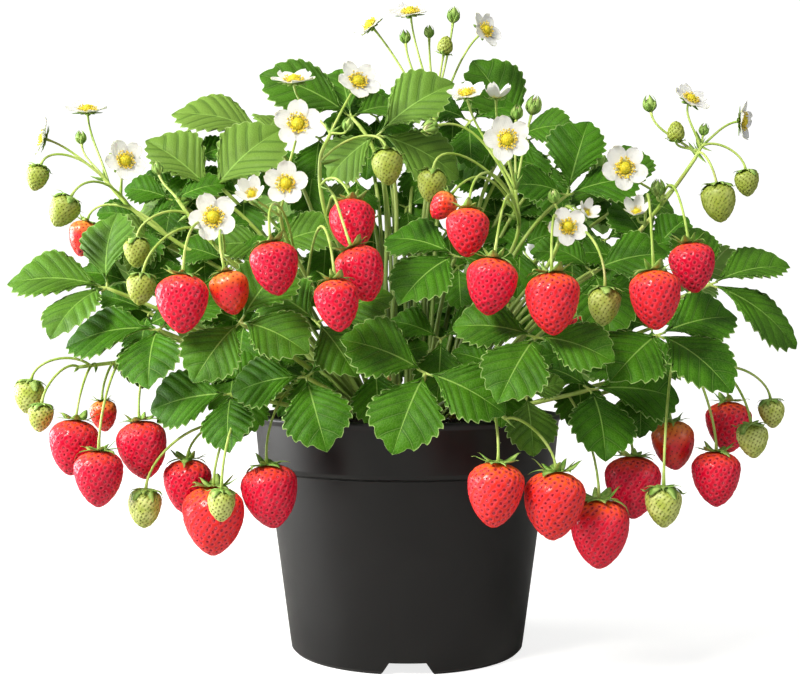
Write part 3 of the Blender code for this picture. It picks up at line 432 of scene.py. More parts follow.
def stemFinish(look):
    tree, shader = newFinish("freshStem", look["green"], look["roughness"], 1.43)
    along, turn, chance = ownPlace(tree)
    x, y, z = objectPlace(tree)
    squareX = addNode(tree, "Math", {0: x, 1: x}, operation="MULTIPLY")
    square = addNode(tree, "Math", {0: y, 1: y, 2: squareX}, operation="MULTIPLY_ADD")
    reach = addNode(tree, "Math", {0: square}, operation="SQRT")
    layers = [
        (look["light"], (mottle(tree, 11 * mm), 0.3, 0.7, 0.0, 1.0)),
        (look["flush"], (mottle(tree, 23 * mm), 0.5, 0.75, 0.0, 1.0), (chance, 0.3, 1.0, 0.0, 0.6)),
        # Painted shade: stems near the plant's middle and below its top are darkened.
        (look["paintedShade"], (reach, *look["shadeReach"], 0.85, 0.0), (z, *look["shadeHeight"], 1.0, 0.0)),
    ]
    layColours(tree, shader, layers, ribs(tree, turn, 7), 0.015 * mm)


# Sepals and bracts: thin leaf tissue, hairy and so matt, paler at the margin and brown at the tip.
calyxLook = {"green": "#669230", "light": "#a6c266", "tip": "#9a8a4c", "roughness": 0.6}


def calyxFinish(look):
    tree, shader = newFinish("sepalSkin", look["green"], look["roughness"], 1.42)
    along, out, chance = ownPlace(tree)
    layers = [
        (look["light"], (mottle(tree, 4 * mm), 0.3, 0.75, 0.0, 1.0)),
        (look["light"], (out, 0.6, 1.0, 0.0, 0.5)),
        (look["tip"], (along, 0.8, 1.0, 0.0, 0.3)),
    ]
    layColours(tree, shader, layers, mottle(tree, 0.7 * mm), 0.1 * mm)


# Petals: thin, soft and matt, with light in their flesh and a faint silky relief of veins along them.
petalLook = {"white": "#dddeda", "base": "#dbd684", "shade": "#c0c3bd"}


def petalFinish(look):
    depths = (0.7 * mm, 0.7 * mm, 0.6 * mm)
    flesh = {"Subsurface Weight": 0.5, "Subsurface Radius": depths, "Subsurface Scale": 1.0}
    tree, shader = newFinish("silkyPetal", look["white"], 0.55, 1.4, flesh)
    along, out, chance = ownPlace(tree)
    layers = [
        # Painted shade: grey clouds over the white petal.
        (look["shade"], (mottle(tree, 3 * mm), 0.45, 0.8, 0.0, 0.6)),
        (look["base"], (along, 0.08, 0.42, 1.0, 0.0)),
    ]
    layColours(tree, shader, layers, ribs(tree, out, 5), 0.02 * mm)


# Ripe fruit: a thin glossy skin over wet red flesh, orange at the shoulder. Each seed's pit is darkened with
# painted shade, and the ridge round it is lightened with a painted highlight.
berryLook = {
    "red": "#d8002a", "deep": "#bc0030", "rose": "#e20834", "shoulder": "#fb6420", "ring": "#ff5468",
    "pit": "#8c001e", "early": "#f03a18",
}


def berryFinish(look):
    gloss = {
        "Specular IOR Level": 0.16, "Coat Weight": 0.30, "Coat Roughness": 0.17, "Subsurface Weight": 0.12,
        "Subsurface Radius": (2.0 * mm, 0.5 * mm, 0.4 * mm), "Subsurface Scale": 1.0,
    }
    tree, shader = newFinish("ripeBerrySkin", look["red"], 0.40, 1.40, gloss)
    along, pit, chance = ownPlace(tree)
    layers = [
        (look["rose"], (mottle(tree, 9 * mm), 0.35, 0.7, 0.0, 1.0)),
        (look["deep"], (chance, 0.5, 1.0, 0.0, 0.6)),
        (look["early"], (chance, 0.0, 0.35, 0.65, 0.0)),
        (look["shoulder"], (along, 0.02, 0.30, 1.0, 0.0), (chance, 0.1, 0.9, 1.0, 0.5)),
        # Painted highlight: a pale pink ring on the ridge round each pit.
        (look["ring"], (pit, 0.10, 0.45, 0.0, 1.0), (pit, 0.9, 0.55, 0.0, 0.5)),
        # Painted shade: each seed's pit is darkened.
        (look["pit"], (pit, 0.25, 0.9, 0.0, 0.9)),
    ]
    layColours(tree, shader, layers, mottle(tree, 0.9 * mm), 0.05 * mm)


# Fruit on the turn: firmer and less glossy, orange at the shoulder and red below.
turningLook = {"red": "#ea3216", "rose": "#e20834", "top": "#ee8a3a", "pit": "#c93a14"}


def turningFinish(look):
    gloss = {"Coat Weight": 0.3, "Coat Roughness": 0.25}
    tree, shader = newFinish("turningBerrySkin", look["red"], 0.36, 1.45, gloss)
    along, pit, chance = ownPlace(tree)
    layers = [
        (look["rose"], (mottle(tree, 8 * mm), 0.35, 0.7, 0.0, 1.0)),
        (look["top"], (along, 0.05, 0.5, 1.0, 0.0)),
        # Painted shade: each seed's pit is darkened.
        (look["pit"], (pit, 0.2, 0.8, 0.0, 0.6)),
    ]
    layColours(tree, shader, layers, mottle(tree, 0.9 * mm), 0.05 * mm)


# Unripe fruit: hard, matt and yellow-green. What is held high has had more sun and is more olive.
unripeLook = {
    "green": "#b1bd4c", "light": "#d3d985", "deep": "#77902e", "olive": "#8a982e",
    "sunFrom": 130 * mm, "sunTo": 230 * mm,
}


def unripeFinish(look):
    tree, shader = newFinish("unripeBerrySkin", look["green"], 0.45, 1.44)
    along, pit, chance = ownPlace(tree)
    layers = [
        (look["light"], (mottle(tree, 5 * mm), 0.3, 0.7, 0.0, 1.0)),
        (look["olive"], (objectPlace(tree)[2], look["sunFrom"], look["sunTo"], 0.0, 0.65)),
        # Painted shade: each seed's pit is darkened.
        (look["deep"], (pit, 0.15, 0.85, 0.0, 0.75)),
        (look["deep"], (along, 0.0, 0.25, 0.6, 0.0)),
    ]
    layColours(tree, shader, layers, mottle(tree, 0.8 * mm), 0.06 * mm)


# Pot: black polypropylene, injection moulded, with a fine satin grain and a little dust in it.
potLook = {"black": "#070707", "worn": "#141413", "roughness": 0.40, "grain": 0.5 * mm}


def potFinish(look):
    sheen = {"Specular IOR Level": 0.4}
    tree, shader = newFinish("mouldedPolypropylene", look["black"], look["roughness"], 1.49, sheen)
    dust = mottle(tree, 35 * mm, 4.0)
    layers = [(look["worn"], (dust, 0.45, 0.8, 0.0, 0.5))]
    layColours(tree, shader, layers, mottle(tree, look["grain"]), 0.02 * mm)
    rough = shareOf(tree, (dust, 0.3, 0.7, look["roughness"] - 0.05, look["roughness"] + 0.07))
    tree.links.new(rough, shader.inputs["Roughness"])


# Stipules: papery brown scales, greener towards the live foot, dull and fibrous.
stipuleLook = {"live": "#7d8a3c", "papery": "#a9824e", "scale": "#8f6a3a", "roughness": 0.75}


def stipuleFinish(look):
    tree, shader = newFinish("paperyStipule", look["live"], look["roughness"], 1.4)
    along, out, chance = ownPlace(tree)
    layers = [(look["papery"], (along, 0.2, 0.9, 0.0, 1.0)), (look["scale"], mottle(tree, 2 * mm))]
    layColours(tree, shader, layers, mottle(tree, 0.8 * mm), 0.1 * mm)


# Finishes of two colours in clouds: the clouds' size, their detail and roughness where they are finer than
# most, the limits between which the second colour comes in, and the depth they cut into the skin.
cloudedLooks = {
    # The thin cut of a leaf's margin, where the skins meet: pale and a little translucent.
    "leafEdge": {
        "colours": (leafLook["edge"], leafLook["underside"]), "roughness": 0.6, "ior": 1.42, "size": 3 * mm,
    },
    # Down: each hair is a clear pale thread, so it shows only as a bloom along the stems.
    "softDown": {"colours": ("#dfe8c0", "#b9cc84"), "roughness": 0.5, "ior": 1.5, "size": 2 * mm},
    # The heart of a flower: juicy green-gold pistils, and dusty golden anthers on pale threads.
    "pistilDome": {
        "colours": ("#e0cc26", "#c8c22a"), "roughness": 0.5, "size": 1.5 * mm, "limits": (0.35, 0.65),
    },
    "antherDust": {
        "colours": ("#ecc92c", "#f8dc50"), "roughness": 0.8, "size": 1.2 * mm, "limits": (0.3, 0.7),
    },
    "filamentSkin": {"colours": ("#ead85c", "#cfd68a"), "roughness": 0.5, "size": 2 * mm},
    # Seeds: small dry nuts with a little gloss. Pale pink clouds on the ripe ones are a painted glint; the
    # unripe ones are clouded between two browns.
    "ripeSeed": {
        "colours": ("#8c0c20", "#ff8a92"), "roughness": 0.4, "ior": 1.5, "sheen": 0.2, "size": 2.5 * mm,
        "limits": (0.45, 0.8),
    },
    "unripeSeed": {
        "colours": ("#6d5a1e", "#94803a"), "roughness": 0.4, "ior": 1.5, "sheen": 0.2, "size": 2.5 * mm,
        "limits": (0.45, 0.8),
    },
    # Compost: damp black-brown peat and bark crumbs, with dull brown fibres of bark.
    "dampPeat": {
        "colours": ("#120d09", "#33241a"), "roughness": 0.9, "size": 2.5 * mm, "detail": (5.0, 0.7),
        "limits": (0.45, 0.7), "depth": 1.2 * mm,
    },
    "barkFibre": {
        "colours": ("#2a1c12", "#5b4028"), "roughness": 0.9, "size": 1.5 * mm, "detail": (3.0,),
        "depth": 0.2 * mm,
    },
    # Perlite: brittle white volcanic foam, quite matt, with darker pores.
    "perliteFoam": {
        "colours": ("#a9a498", "#d9d6cc"), "roughness": 0.95, "size": 0.8 * mm, "detail": (3.0,),
        "limits": (0.3, 0.6), "depth": 0.4 * mm,
    },
    # Crown: a woody stub, dull, brown and mossy.
    "crownWood": {
        "colours": ("#5a4226", "#7a6a34"), "roughness": 0.85, "size": 3 * mm, "detail": (4.0,),
        "limits": (0.35, 0.7), "depth": 0.8 * mm,
    },
}


def cloudedFinish(name, look):
    first, second = look["colours"]
    sheen = {"Specular IOR Level": look.get("sheen", 0.5)}
    tree, shader = newFinish(name, first, look["roughness"], look.get("ior", 1.4), sheen)
    clouds = mottle(tree, look["size"], *look.get("detail", ()))
    step = (clouds, *look["limits"], 0.0, 1.0) if "limits" in look else clouds
    layColours(tree, shader, [(second, step)], clouds if "depth" in look else None, look.get("depth", 0.0))


leafUpperFinish(leafLook)
leafUnderFinish(leafLook)
stemFinish(stemLook)
calyxFinish(calyxLook)
petalFinish(petalLook)
berryFinish(berryLook)
turningFinish(turningLook)
unripeFinish(unripeLook)
potFinish(potLook)
stipuleFinish(stipuleLook)
for name, look in cloudedLooks.items():
    cloudedFinish(name, look)
print("materials made:", len(finishes))


# Camera, lights and floor. The camera stands level with the middle of the plant. One sheet of paper lies
# under the pot and turns up far behind it: half its width, how far behind, and how high.
studio = {
    "viewWidth": 0.448, "distance": 0.70, "height": 0.172, "aside": -0.0039, "paper": (30.0, 8.0, 14.0),
    "floorColour": "#b4b3b0", "floorShade": "#b9b8b6", "floorLift": 0.80, "liftFrom": 0.3, "liftTo": 1.6,
    "backdrop": 1.0, "skyLow": 0.03, "skyHigh": 0.54, "aim": (0.0, 0.0, 0.18),
    # Each light: place, size, watts, colour.
    "lights": {
        "keyLight": ((-0.80, -1.00, 1.15), 0.5, 32.0, "#fffbf4"),
        "fillLight": ((1.1, -1.0, 0.45), 1.0, 4.0, "#f6f9ff"),
        "leftEdgeLight": ((-1.25, 0.10, 0.30), 1.1, 40.0, "#ffffff"),
    },
}


def makeCamera(look):
    camera = bpy.data.objects.new("camera", bpy.data.cameras.new("camera"))
    camera.data.sensor_width = 36.0
    camera.data.lens = 36.0 * look["distance"] / look["viewWidth"]
    camera.data.clip_end = 100.0
    camera.location = (look["aside"], -look["distance"], look["height"])
    camera.rotation_euler = (math.radians(90), 0.0, 0.0)
    bpy.context.scene.collection.objects.link(camera)
    bpy.context.scene.camera = camera


# Seen by the camera the paper is lifted to white; it lights the pot no more for that.
def makeFloor(look):
    glow = {"Emission Color": (1.0, 1.0, 1.0, 1.0)}
    tree, shader = newFinish("paleFloor", look["floorColour"], 0.8, 1.4, glow)
    layColours(tree, shader, [(look["floorShade"], mottle(tree, 400 * mm))])
    x, y, z = objectPlace(tree)
    far = shareOf(tree, (y, look["liftFrom"], look["liftTo"], look["floorLift"], 1.0))
    wall = shareOf(tree, (z, 0.0, 0.1, 0.0, 1.0))
    lift = addNode(tree, "Math", {0: far, 1: wall}, operation="MAXIMUM")
    seen = addNode(tree, "LightPath", {}, "Is Camera Ray")
    tree.links.new(shareOf(tree, seen, lift), shader.inputs["Emission Strength"])
    mesh = bpy.data.meshes.new("floor")
    reach, bend, top = look["paper"]
    corners = [(x * reach, y, z) for y, z in ((-reach, 0), (bend, 0), (bend, top)) for x in (-1, 1)]
    mesh.from_pydata(corners, [], [(0, 1, 3, 2), (2, 3, 5, 4)])
    mesh.materials.append(finishes["paleFloor"])
    floor = bpy.data.objects.new("floor", mesh)
    bpy.context.scene.collection.objects.link(floor)


# The air round the plant is white to the camera; what it lends to the plant is softer, mostly from above.
def makeAir(look):
    world = bpy.data.worlds.new("studioAir")
    world.use_nodes = True
    bpy.context.scene.world = world
    tree = world.node_tree
    tree.nodes.clear()
    way = addNode(tree, "TexCoord", {}, "Generated")
    height = addNode(tree, "SeparateXYZ", {0: way}, 2)
    level = shareOf(tree, (height, -0.1, 1.0, look["skyLow"], look["skyHigh"]))
    seen = addNode(tree, "LightPath", {}, "Is Camera Ray")
    strength = addNode(tree, "Mix", {0: seen, 2: level, 3: look["backdrop"]}, data_type="FLOAT")
    air = addNode(tree, "Background", {"Color": (1, 1, 1, 1), "Strength": strength})
    addNode(tree, "OutputWorld", {"Surface": air})


def makeLights(look):
    for name, (place, size, power, tint) in look["lights"].items():
        lamp = bpy.data.objects.new(name, bpy.data.lights.new(name, "AREA"))
        lamp.data.shape = "DISK"
        lamp.data.size = size
        lamp.data.energy = power
        lamp.data.color = linear(tint)[:3]
        lamp.location = place
        aim = unit(vec(*look["aim"]) - vec(*place))
        lamp.rotation_euler = (math.acos(-aim[2]), 0.0, math.atan2(-aim[0], aim[1]))
        bpy.context.scene.collection.objects.link(lamp)


bpy.context.scene.view_settings.view_transform = "Standard"
for makePiece in (makeCamera, makeFloor, makeAir, makeLights):
    makePiece(studio)
print("studio made")


# The plan of the leaves. Each leaf: its middle, the way it faces, how far its three leaflets reach, and how
# young and pale it is, where that is set. Where that is set high, mostly on the leaves up on the left, the
# pale tint is partly a painted sheen.
leafPlan = {
    "leaf_front_middle": [
        ((8, -112, 156), (0, -0.8, 0.6), ((-39, -4, 15), (-15, -20, -36), (36, -8, -19)), 0.28),
    ],
    "leaf_front_left": [
        ((-49, -102, 154), (-0.1, -0.8, 0.6), ((-35, 4, -9), (11, -18, -34), (30, 24, 12)), 0.2),
    ],
    "leaf_front_left_low": [
        ((-87, -84, 145), (-0.3, -0.8, 0.5), ((-40, 6, -9), (2, -20, -27), (20, 16, 18)), 0.1),
    ],
    "leaf_front_left_high": [
        ((-80, -106, 180), (0.1, -0.75, 0.65), ((-19, -16, -28), (33, -14, -15), (20, 20, 28)), 0.35),
    ],
    "leaf_left_side": [
        ((-126, -70, 177), (-0.2, -0.6, 0.75), ((-47, 8, -10), (1, -27, -29), (32, 14, 12)), 0.1),
    ],
    "leaf_left_far": [
        ((-158, -45, 199), (-0.3, -0.6, 0.7), ((-51, 2, 1), (3, 14, 39), (-20, -30, -27)), 0.45),
    ],
    "leaf_left_top": [
        ((-109, 0, 254), (0, -0.8, 0.6), ((37, 12, 36), (-38, 8, 29), (-44, 14, -14)), 0.7),
    ],
    "leaf_top_left": [
        ((-32, 20, 300), (-0.1, -0.8, 0.6), ((-51, -4, 22), (-8, 28, 32), (30, 26, 8)), 0.35),
    ],
    "leaf_top_middle": [
        ((-16, -15, 284), (0, -0.85, 0.5), ((41, 2, 27), (-27, 6, -24), (44, 14, -22)), 0.6),
    ],
    "leaf_top_right": [
        ((89, -5, 252), (0, -0.8, 0.6), ((14, 16, 42), (-32, -8, 4), (41, 6, 8)), 0.2),
    ],
    "leaf_middle": [
        ((25, -55, 215), (-0.1, -0.65, 0.75), ((-36, 18, 9), (-29, -20, -26), (32, -4, -16)), 0.25),
    ],
    "leaf_front_right": [
        ((60, -112, 173), (0, -0.75, 0.65), ((-38, 8, 4), (-19, -20, -30), (34, -12, -12)), 0.3),
    ],
    "leaf_right_front": [
        ((122, -90, 174), (0.15, -0.75, 0.65), ((-27, -24, -22), (29, -24, -27), (40, 10, 8)), 0.2),
    ],
    "leaf_right_far": [
        ((160, -40, 201), (0.1, -0.6, 0.75), ((43, 6, 8), (44, 0, -34), (-12, 18, 30)), 0.35),
    ],
    "leaf_right_low": [
        ((91, -78, 147), (0.2, -0.75, 0.6), ((45, 10, -6), (3, -26, -33), (-24, 16, 10)), 0.1),
    ],
    "shoot_top_right": [
        ((66, 42, 292), (0, -0.8, 0.6), ((31, -14, 3), (-26, 2, 44), (-34, 16, -22))),
        ((128, 22, 251), (0.1, -0.8, 0.6), ((2, 18, 34), (27, 6, -6), (-28, 28, 6))),
    ],
    "shoot_left_high": [
        ((-82, 28, 290), (0, -0.6, 0.8), ((-54, 2, 12), (6, 40, 16), (-16, 34, -26)), 0.75),
        ((-138, -10, 226), (-0.2, -0.8, 0.6), ((-24, -8, 6), (16, -4, 9), (-12, -16, -18)), 0.75),
    ],
    "shoot_inner_left": [
        ((-44, -95, 180), (0, -0.8, 0.6), ((19, -12, -26), (36, 4, 12), (-26, 26, 14))),
        ((-74, -12, 222), (0, -0.8, 0.6), ((-32, -4, 0), (6, -14, -24), (36, 2, 10))),
    ],
    "shoot_inner_right": [
        ((58, -88, 144), (0, -0.8, 0.5), ((2, -14, -28), (-20, 8, 2), (18, -4, 6))),
        ((98, -38, 208), (0.1, -0.8, 0.6), ((-20, 8, 12), (6, -22, -36), (38, -4, 8))),
        ((138, 4, 220), (0, -0.8, 0.6), ((-20, 8, 30), (21, 6, 20), (-30, 0, -14))),
    ],
    "shoot_back_left": [
        ((-148, 62, 208), (-0.5, 0.4, 0.75), ((-44, -10, -6), (-22, 36, -8), (14, 12, 38))),
        ((-66, 92, 246), (-0.1, 0.7, 0.7), ((-38, 8, 20), (-4, 42, -10), (36, 18, 14))),
        ((-104, 106, 168), (-0.4, 0.65, 0.6), ((-42, -4, 8), (-12, 32, -28), (32, 24, 8))),
    ],
    "shoot_back_right": [
        ((108, 78, 252), (0.3, 0.6, 0.75), ((34, -8, 26), (20, 38, -12), (-32, 24, 14))),
        ((160, 52, 206), (0.5, 0.4, 0.75), ((42, -8, 10), (26, 34, -12), (-14, 36, 14))),
        ((106, 110, 166), (0.35, 0.65, 0.6), ((40, 0, 8), (12, 34, -26), (-32, 22, 8))),
    ],
    "shoot_back_middle": [
        ((22, 82, 276), (0, 0.6, 0.8), ((-34, 10, 22), (34, 12, 20), (6, 42, -8))),
        ((2, 122, 182), (0, 0.8, 0.6), ((-40, 6, 12), (0, 30, -32), (40, 6, 10))),
    ],
}

# The plan of the sprays. Each stalk: its route from the crown, then its organs. Each organ: kind, middle,
# direction, width, where on the stalk its stem leaves (0 at the crown, 1 at the end), and its own node.
sprayPlan = {
    "spray_left_high": [
        (((-70, -12, 188), (-125, -22, 224), (-150, -24, 243), (-167, -26, 262)),
         ("green", (-197, -35, 257), (-0.25, -0.1, -1), 12, 0.95),
         ("green", (-177, -58, 237), (-0.45, -0.1, -0.9), 15, 0.8),
         ("turning", (-176, -20, 226), (-0.2, 0, -1), 17, 0.62),
         ("flower", (-174, -20, 296), (0.05, -0.42, 0.9), 23, 0.92),
         ("flower", (-195, -30, 279), (-0.9, -0.42, 0.25), 22, 0.98),
         ("flower", (-148, -45, 265), (0.4, -0.85, 0.15), 22, 0.85),
         ("bud", (-178, -18, 281), (-0.1, 0, 1), 6, 0.95)),
    ],
    "spray_left_middle": [
        (((-60, -35, 182), (-95, -52, 215), (-110, -58, 232), (-118, -58, 243)),
         ("bud", (-130, -50, 260), (-0.3, 0, 1), 6, 1.0),
         ("green", (-137, -68, 215), (0, -0.1, -1), 13, 0.85),
         ("green", (-132, -82, 196), (-0.1, -0.1, -1), 14, 0.72),
         ("flower", (-95, -90, 231), (0, -1, 0.1), 24, 0.8),
         ("ripe", (-104, -125, 188), (0, -0.1, -1), 23.5, 0.66, "berry_upper_1"),
         ("turning", (-83, -117, 193), (0.25, 0, -1), 18, 0.6)),
    ],
    "spray_center_left": [
        (((-45, -35, 190), (-62, -55, 222), (-66, -62, 240)),
         ("flower", (-60, -85, 248), (0, -1, 0.1), 22, 0.95),
         ("half_open", (-78, -75, 244), (-0.1, -0.85, 0.4), 15, 0.9),
         ("flower", (-55, -75, 279), (0, -1, 0.1), 24, 1.0),
         ("ripe", (-61, -130, 204), (0.15, 0, -1), 21.5, 0.7, "berry_upper_2"),
         ("ripe", (-32, -138, 187), (0.1, 0, -1), 20.5, 0.6, "berry_upper_5")),
        (((-25, -30, 195), (-42, -52, 235), (-45, -58, 262), (-40, -52, 278)),
         ("flower", (-60, -40, 308), (0, -0.45, 0.9), 24, 1.0),
         ("flower", (-26, -42, 307), (0.35, -0.8, 0.4), 24, 1.0),
         ("green", (-10, -70, 258), (0.1, -0.1, -1), 16, 0.8),
         ("ripe", (-27, -90, 227), (0.1, -0.4, -0.9), 22.5, 0.7, "berry_upper_3"),
         ("ripe", (-22, -118, 202), (0.35, 0, -0.95), 23, 0.6, "berry_upper_4"),
         ("bud", (-31, -54, 282), (0.3, 0, 1), 6, 1.0)),
    ],
    "spray_top": [
        (((5, 12, 200), (13, 22, 270), (16, 22, 302)),
         ("flower", (-21, 22, 353), (-0.6, -0.5, 0.6), 22, 0.95),
         ("flower", (2, 14, 358), (-0.1, -0.5, 0.85), 24, 1.0),
         ("flower", (45, 15, 348), (0.6, -0.65, 0.3), 22, 0.95),
         ("bud", (-1, 24, 346), (-0.1, 0, 1), 6.5, 0.97),
         ("bud", (27, 22, 358), (0.1, 0, 1), 7.5, 1.0),
         ("green", (22, 12, 339), (0.2, -0.5, 1), 9, 0.98),
         ("bud", (13, 24, 349), (0, 0, 1), 6, 1.0)),
    ],
    "spray_center_right": [
        (((40, -22, 190), (58, -36, 225), (57, -42, 250)),
         ("flower", (50, -70, 272), (0, -1, 0.1), 24, 1.0),
         ("flower", (31, -45, 300), (-0.15, -0.55, 0.8), 21, 1.0),
         ("half_open", (47, -40, 299), (0.05, -0.3, 0.95), 16, 1.0),
         ("bud", (67, -36, 295), (0.25, -0.1, 1), 8.5, 1.0),
         ("bud", (12, -52, 281), (-0.7, -0.5, -0.3), 8.5, 0.95),
         ("green", (12, -66, 249), (-0.1, -0.1, -1), 14.5, 0.9),
         ("turning", (17, -82, 237), (-0.6, -0.1, -0.8), 13, 0.85),
         ("ripe", (28, -110, 222), (-0.05, -0.1, -1), 20, 0.85, "berry_upper_6"),
         ("ripe", (38, -124, 196), (-0.12, 0, -1), 23, 0.8, "berry_upper_7"),
         ("bud", (58, -38, 291), (0.1, 0, 1), 6.5, 1.0)),
    ],
    "spray_right_middle": [
        (((55, -32, 182), (76, -48, 215), (82, -56, 240)),
         ("flower", (79, -82, 227), (0, -1, 0.15), 20, 0.95),
         ("half_open", (90, -70, 235), (0.4, -0.8, 0.5), 12, 1.0),
         ("ripe", (66, -128, 188), (0.03, 0, -1), 25, 0.8, "berry_upper_8"),
         ("green", (93, -106, 187), (-0.05, 0, -1), 16, 0.85),
         ("bud", (75, -60, 244), (-0.2, 0, 1), 6, 0.95)),
    ],
    "spray_right_high": [
        (((60, -12, 178), (112, -14, 215), (136, -28, 243), (153, -28, 266), (158, -28, 275)),
         ("flower", (152, -30, 300), (0.35, -0.6, 0.65), 21, 0.97),
         ("flower", (181, -25, 289), (0.9, -0.5, -0.05), 22, 1.0),
         ("flower", (111, -60, 259), (0, -1, 0.1), 24, 0.68),
         ("half_open", (118, -56, 237), (-0.2, -0.7, 0.6), 14, 0.6),
         ("bud", (131, -25, 298), (-0.15, 0, 1), 7.5, 0.9),
         ("bud", (131, -46, 250), (0, -0.2, 1), 7.5, 0.72),
         ("green", (144, -30, 283), (-0.1, -0.4, 1), 9.5, 0.93),
         ("green", (182, -30, 255), (0.1, 0, -1), 12.5, 1.0),
         ("green", (164, -42, 243), (0.1, -0.1, -1), 18, 0.92),
         ("ripe", (114, -122, 190), (0.05, 0, -1), 24, 0.6, "berry_upper_9"),
         ("ripe", (136, -102, 206), (0.15, 0, -1), 21, 0.66, "berry_upper_10"),
         ("bud", (160, -26, 284), (0.2, 0, 1), 5.5, 1.0)),
    ],
    "spray_left_low": [
        (((-55, -25, 152), (-110, -42, 163), (-145, -50, 160), (-170, -54, 157)),
         ("green", (-194, -60, 142), (-0.15, 0, -1), 15, 0.95),
         ("green", (-184, -74, 132), (-0.1, 0, -1), 12.5, 1.0),
         ("ripe", (-166, -80, 118), (-0.1, 0, -1), 24, 0.92, "berry_left_1"),
         ("turning", (-156, -58, 132), (0.1, 0, -1), 14, 0.85),
         ("ripe", (-148, -102, 105), (0, 0, -1), 23.5, 0.8, "berry_left_2"),
         ("ripe", (-131, -82, 117), (0.12, 0, -1), 25, 0.72, "berry_left_3")),
    ],
    "spray_left_front": [
        (((-47, -34, 144), (-72, -52, 140), (-91, -74, 127)),
         ("green", (-128, -92, 89), (-0.05, 0, -1), 16.5, 1.0),
         ("ripe", (-110, -76, 98), (0, 0, -1), 24, 0.95, "berry_left_4"),
         ("ripe", (-94, -96, 84), (0, 0, -1), 29, 0.9, "berry_left_5"),
         ("ripe", (-67, -90, 95), (0.12, 0, -1), 27, 0.6, "berry_left_6"),
         ("green", (-87, -118, 94), (0, 0, -1), 13, 0.85)),
    ],
    "spray_right_front": [
        (((22, -52, 140), (36, -92, 142), (46, -112, 134)),
         ("ripe", (40, -124, 100), (-0.08, 0, -1), 26, 0.85, "berry_right_1"),
         ("ripe", (68, -116, 94), (-0.05, 0, -1), 28, 1.0, "berry_right_2")),
    ],
    "spray_right_low": [
        (((55, -28, 148), (96, -48, 142), (130, -55, 157), (158, -58, 155)),
         ("ripe", (92, -98, 78), (0, 0, -1), 29, 0.5, "berry_right_3"),
         ("ripe", (112, -78, 98), (0, 0, -1), 27, 0.58, "berry_right_4"),
         ("green", (121, -108, 92), (0, 0, -1), 17, 0.85),
         ("turning", (136, -60, 117), (0.1, 0, -1), 22, 0.8),
         ("ripe", (154, -76, 102), (0, 0, -1), 24, 0.9, "berry_right_5"),
         ("ripe", (167, -50, 126), (0, 0, -1), 23, 0.98, "berry_right_6"),
         ("green", (171, -80, 121), (0.1, 0, -1), 15, 1.0),
         ("green", (188, -55, 133), (0.1, 0, -1), 13, 1.0)),
    ],
    "spray_back_left": [
        (((-30, 56, 172), (-60, 92, 194), (-100, 100, 212), (-112, 98, 226)),
         ("flower", (-126, 88, 254), (-0.4, 0.7, 0.6), 23, 1.0),
         ("ripe", (-136, 116, 194), (-0.1, 0.1, -1), 22, 0.95),
         ("green", (-104, 124, 202), (0, 0.1, -1), 15, 0.85),
         ("bud", (-108, 90, 248), (0, 0.1, 1), 7, 1.0)),
        (((-14, 60, 156), (-28, 98, 160), (-38, 112, 150)),
         ("ripe", (-48, 122, 108), (-0.1, 0, -1), 25, 1.0),
         ("ripe", (-16, 132, 116), (0, 0.1, -1), 23, 0.8)),
    ],
    "spray_back_right": [
        (((40, 62, 180), (80, 96, 204), (88, 106, 214)),
         ("flower", (92, 130, 234), (0.2, 0.9, 0.3), 23, 1.0),
         ("ripe", (116, 132, 178), (0.1, 0.1, -1), 23, 0.95),
         ("green", (70, 134, 190), (0, 0.1, -1), 14, 0.85),
         ("bud", (76, 124, 238), (-0.1, 0.1, 1), 7, 1.0)),
    ],
}

# Smaller leaves fill the plant's inside, between and behind the ones above. All face the front, and the three
# leaflets of each reach left, right and down by about these distances.
innerTips = ((-26, 4, 6), (25, 4, 8), (0, -11, -29))
innerPlaces = (
    (-128, 16, 258), (-55, 36, 270), (-22, 44, 292), (0, 42, 250), (37, 34, 300), (56, 38, 244),
    (84, 34, 270), (112, 12, 228), (-138, -34, 186), (-82, -54, 150), (-84, -58, 180), (17, -64, 172),
    (88, -54, 156), (128, -46, 178), (-48, -62, 160), (-16, -70, 158), (48, -66, 156), (-146, -6, 238),
    (-98, -20, 214), (-18, 54, 306), (-52, 46, 292), (6, 58, 282), (-20, 46, 244), (24, 40, 236),
    (30, 24, 214), (52, 52, 262), (72, 46, 258), (100, 30, 240), (-94, 22, 254), (-58, 18, 218),
    (72, 42, 290), (-140, -36, 178), (118, -60, 154), (-90, -50, 158), (-10, 34, 168), (-46, 30, 176),
    (34, 32, 178), (-14, 42, 206), (70, 26, 196), (-76, 26, 190), (-134, -4, 226), (-112, -8, 228),
    (-150, -20, 202), (-94, -10, 200), (-46, 12, 230), (66, 30, 226), (94, 12, 218), (122, 2, 216),
    (-124, 14, 272), (82, 40, 280), (-32, 44, 150), (20, 46, 150), (60, 34, 152), (-66, 30, 150),
    (28, 46, 306), (-34, 52, 310), (-130, -4, 249), (14, 30, 185), (100, 30, 186), (-30, 34, 266),
)

# Where two stems would leave the crown at one place, one is turned round it or leans lower, in degrees.
footShifts = {
    "spray_right_front": (-8, 0), "spray_right_middle": (-4, -4), "shoot_inner_right": (6, -2),
    "spray_right_high": (6, 0), "spray_right_low": (-2, 5), "shoot_left_high": (-4, 0),
}


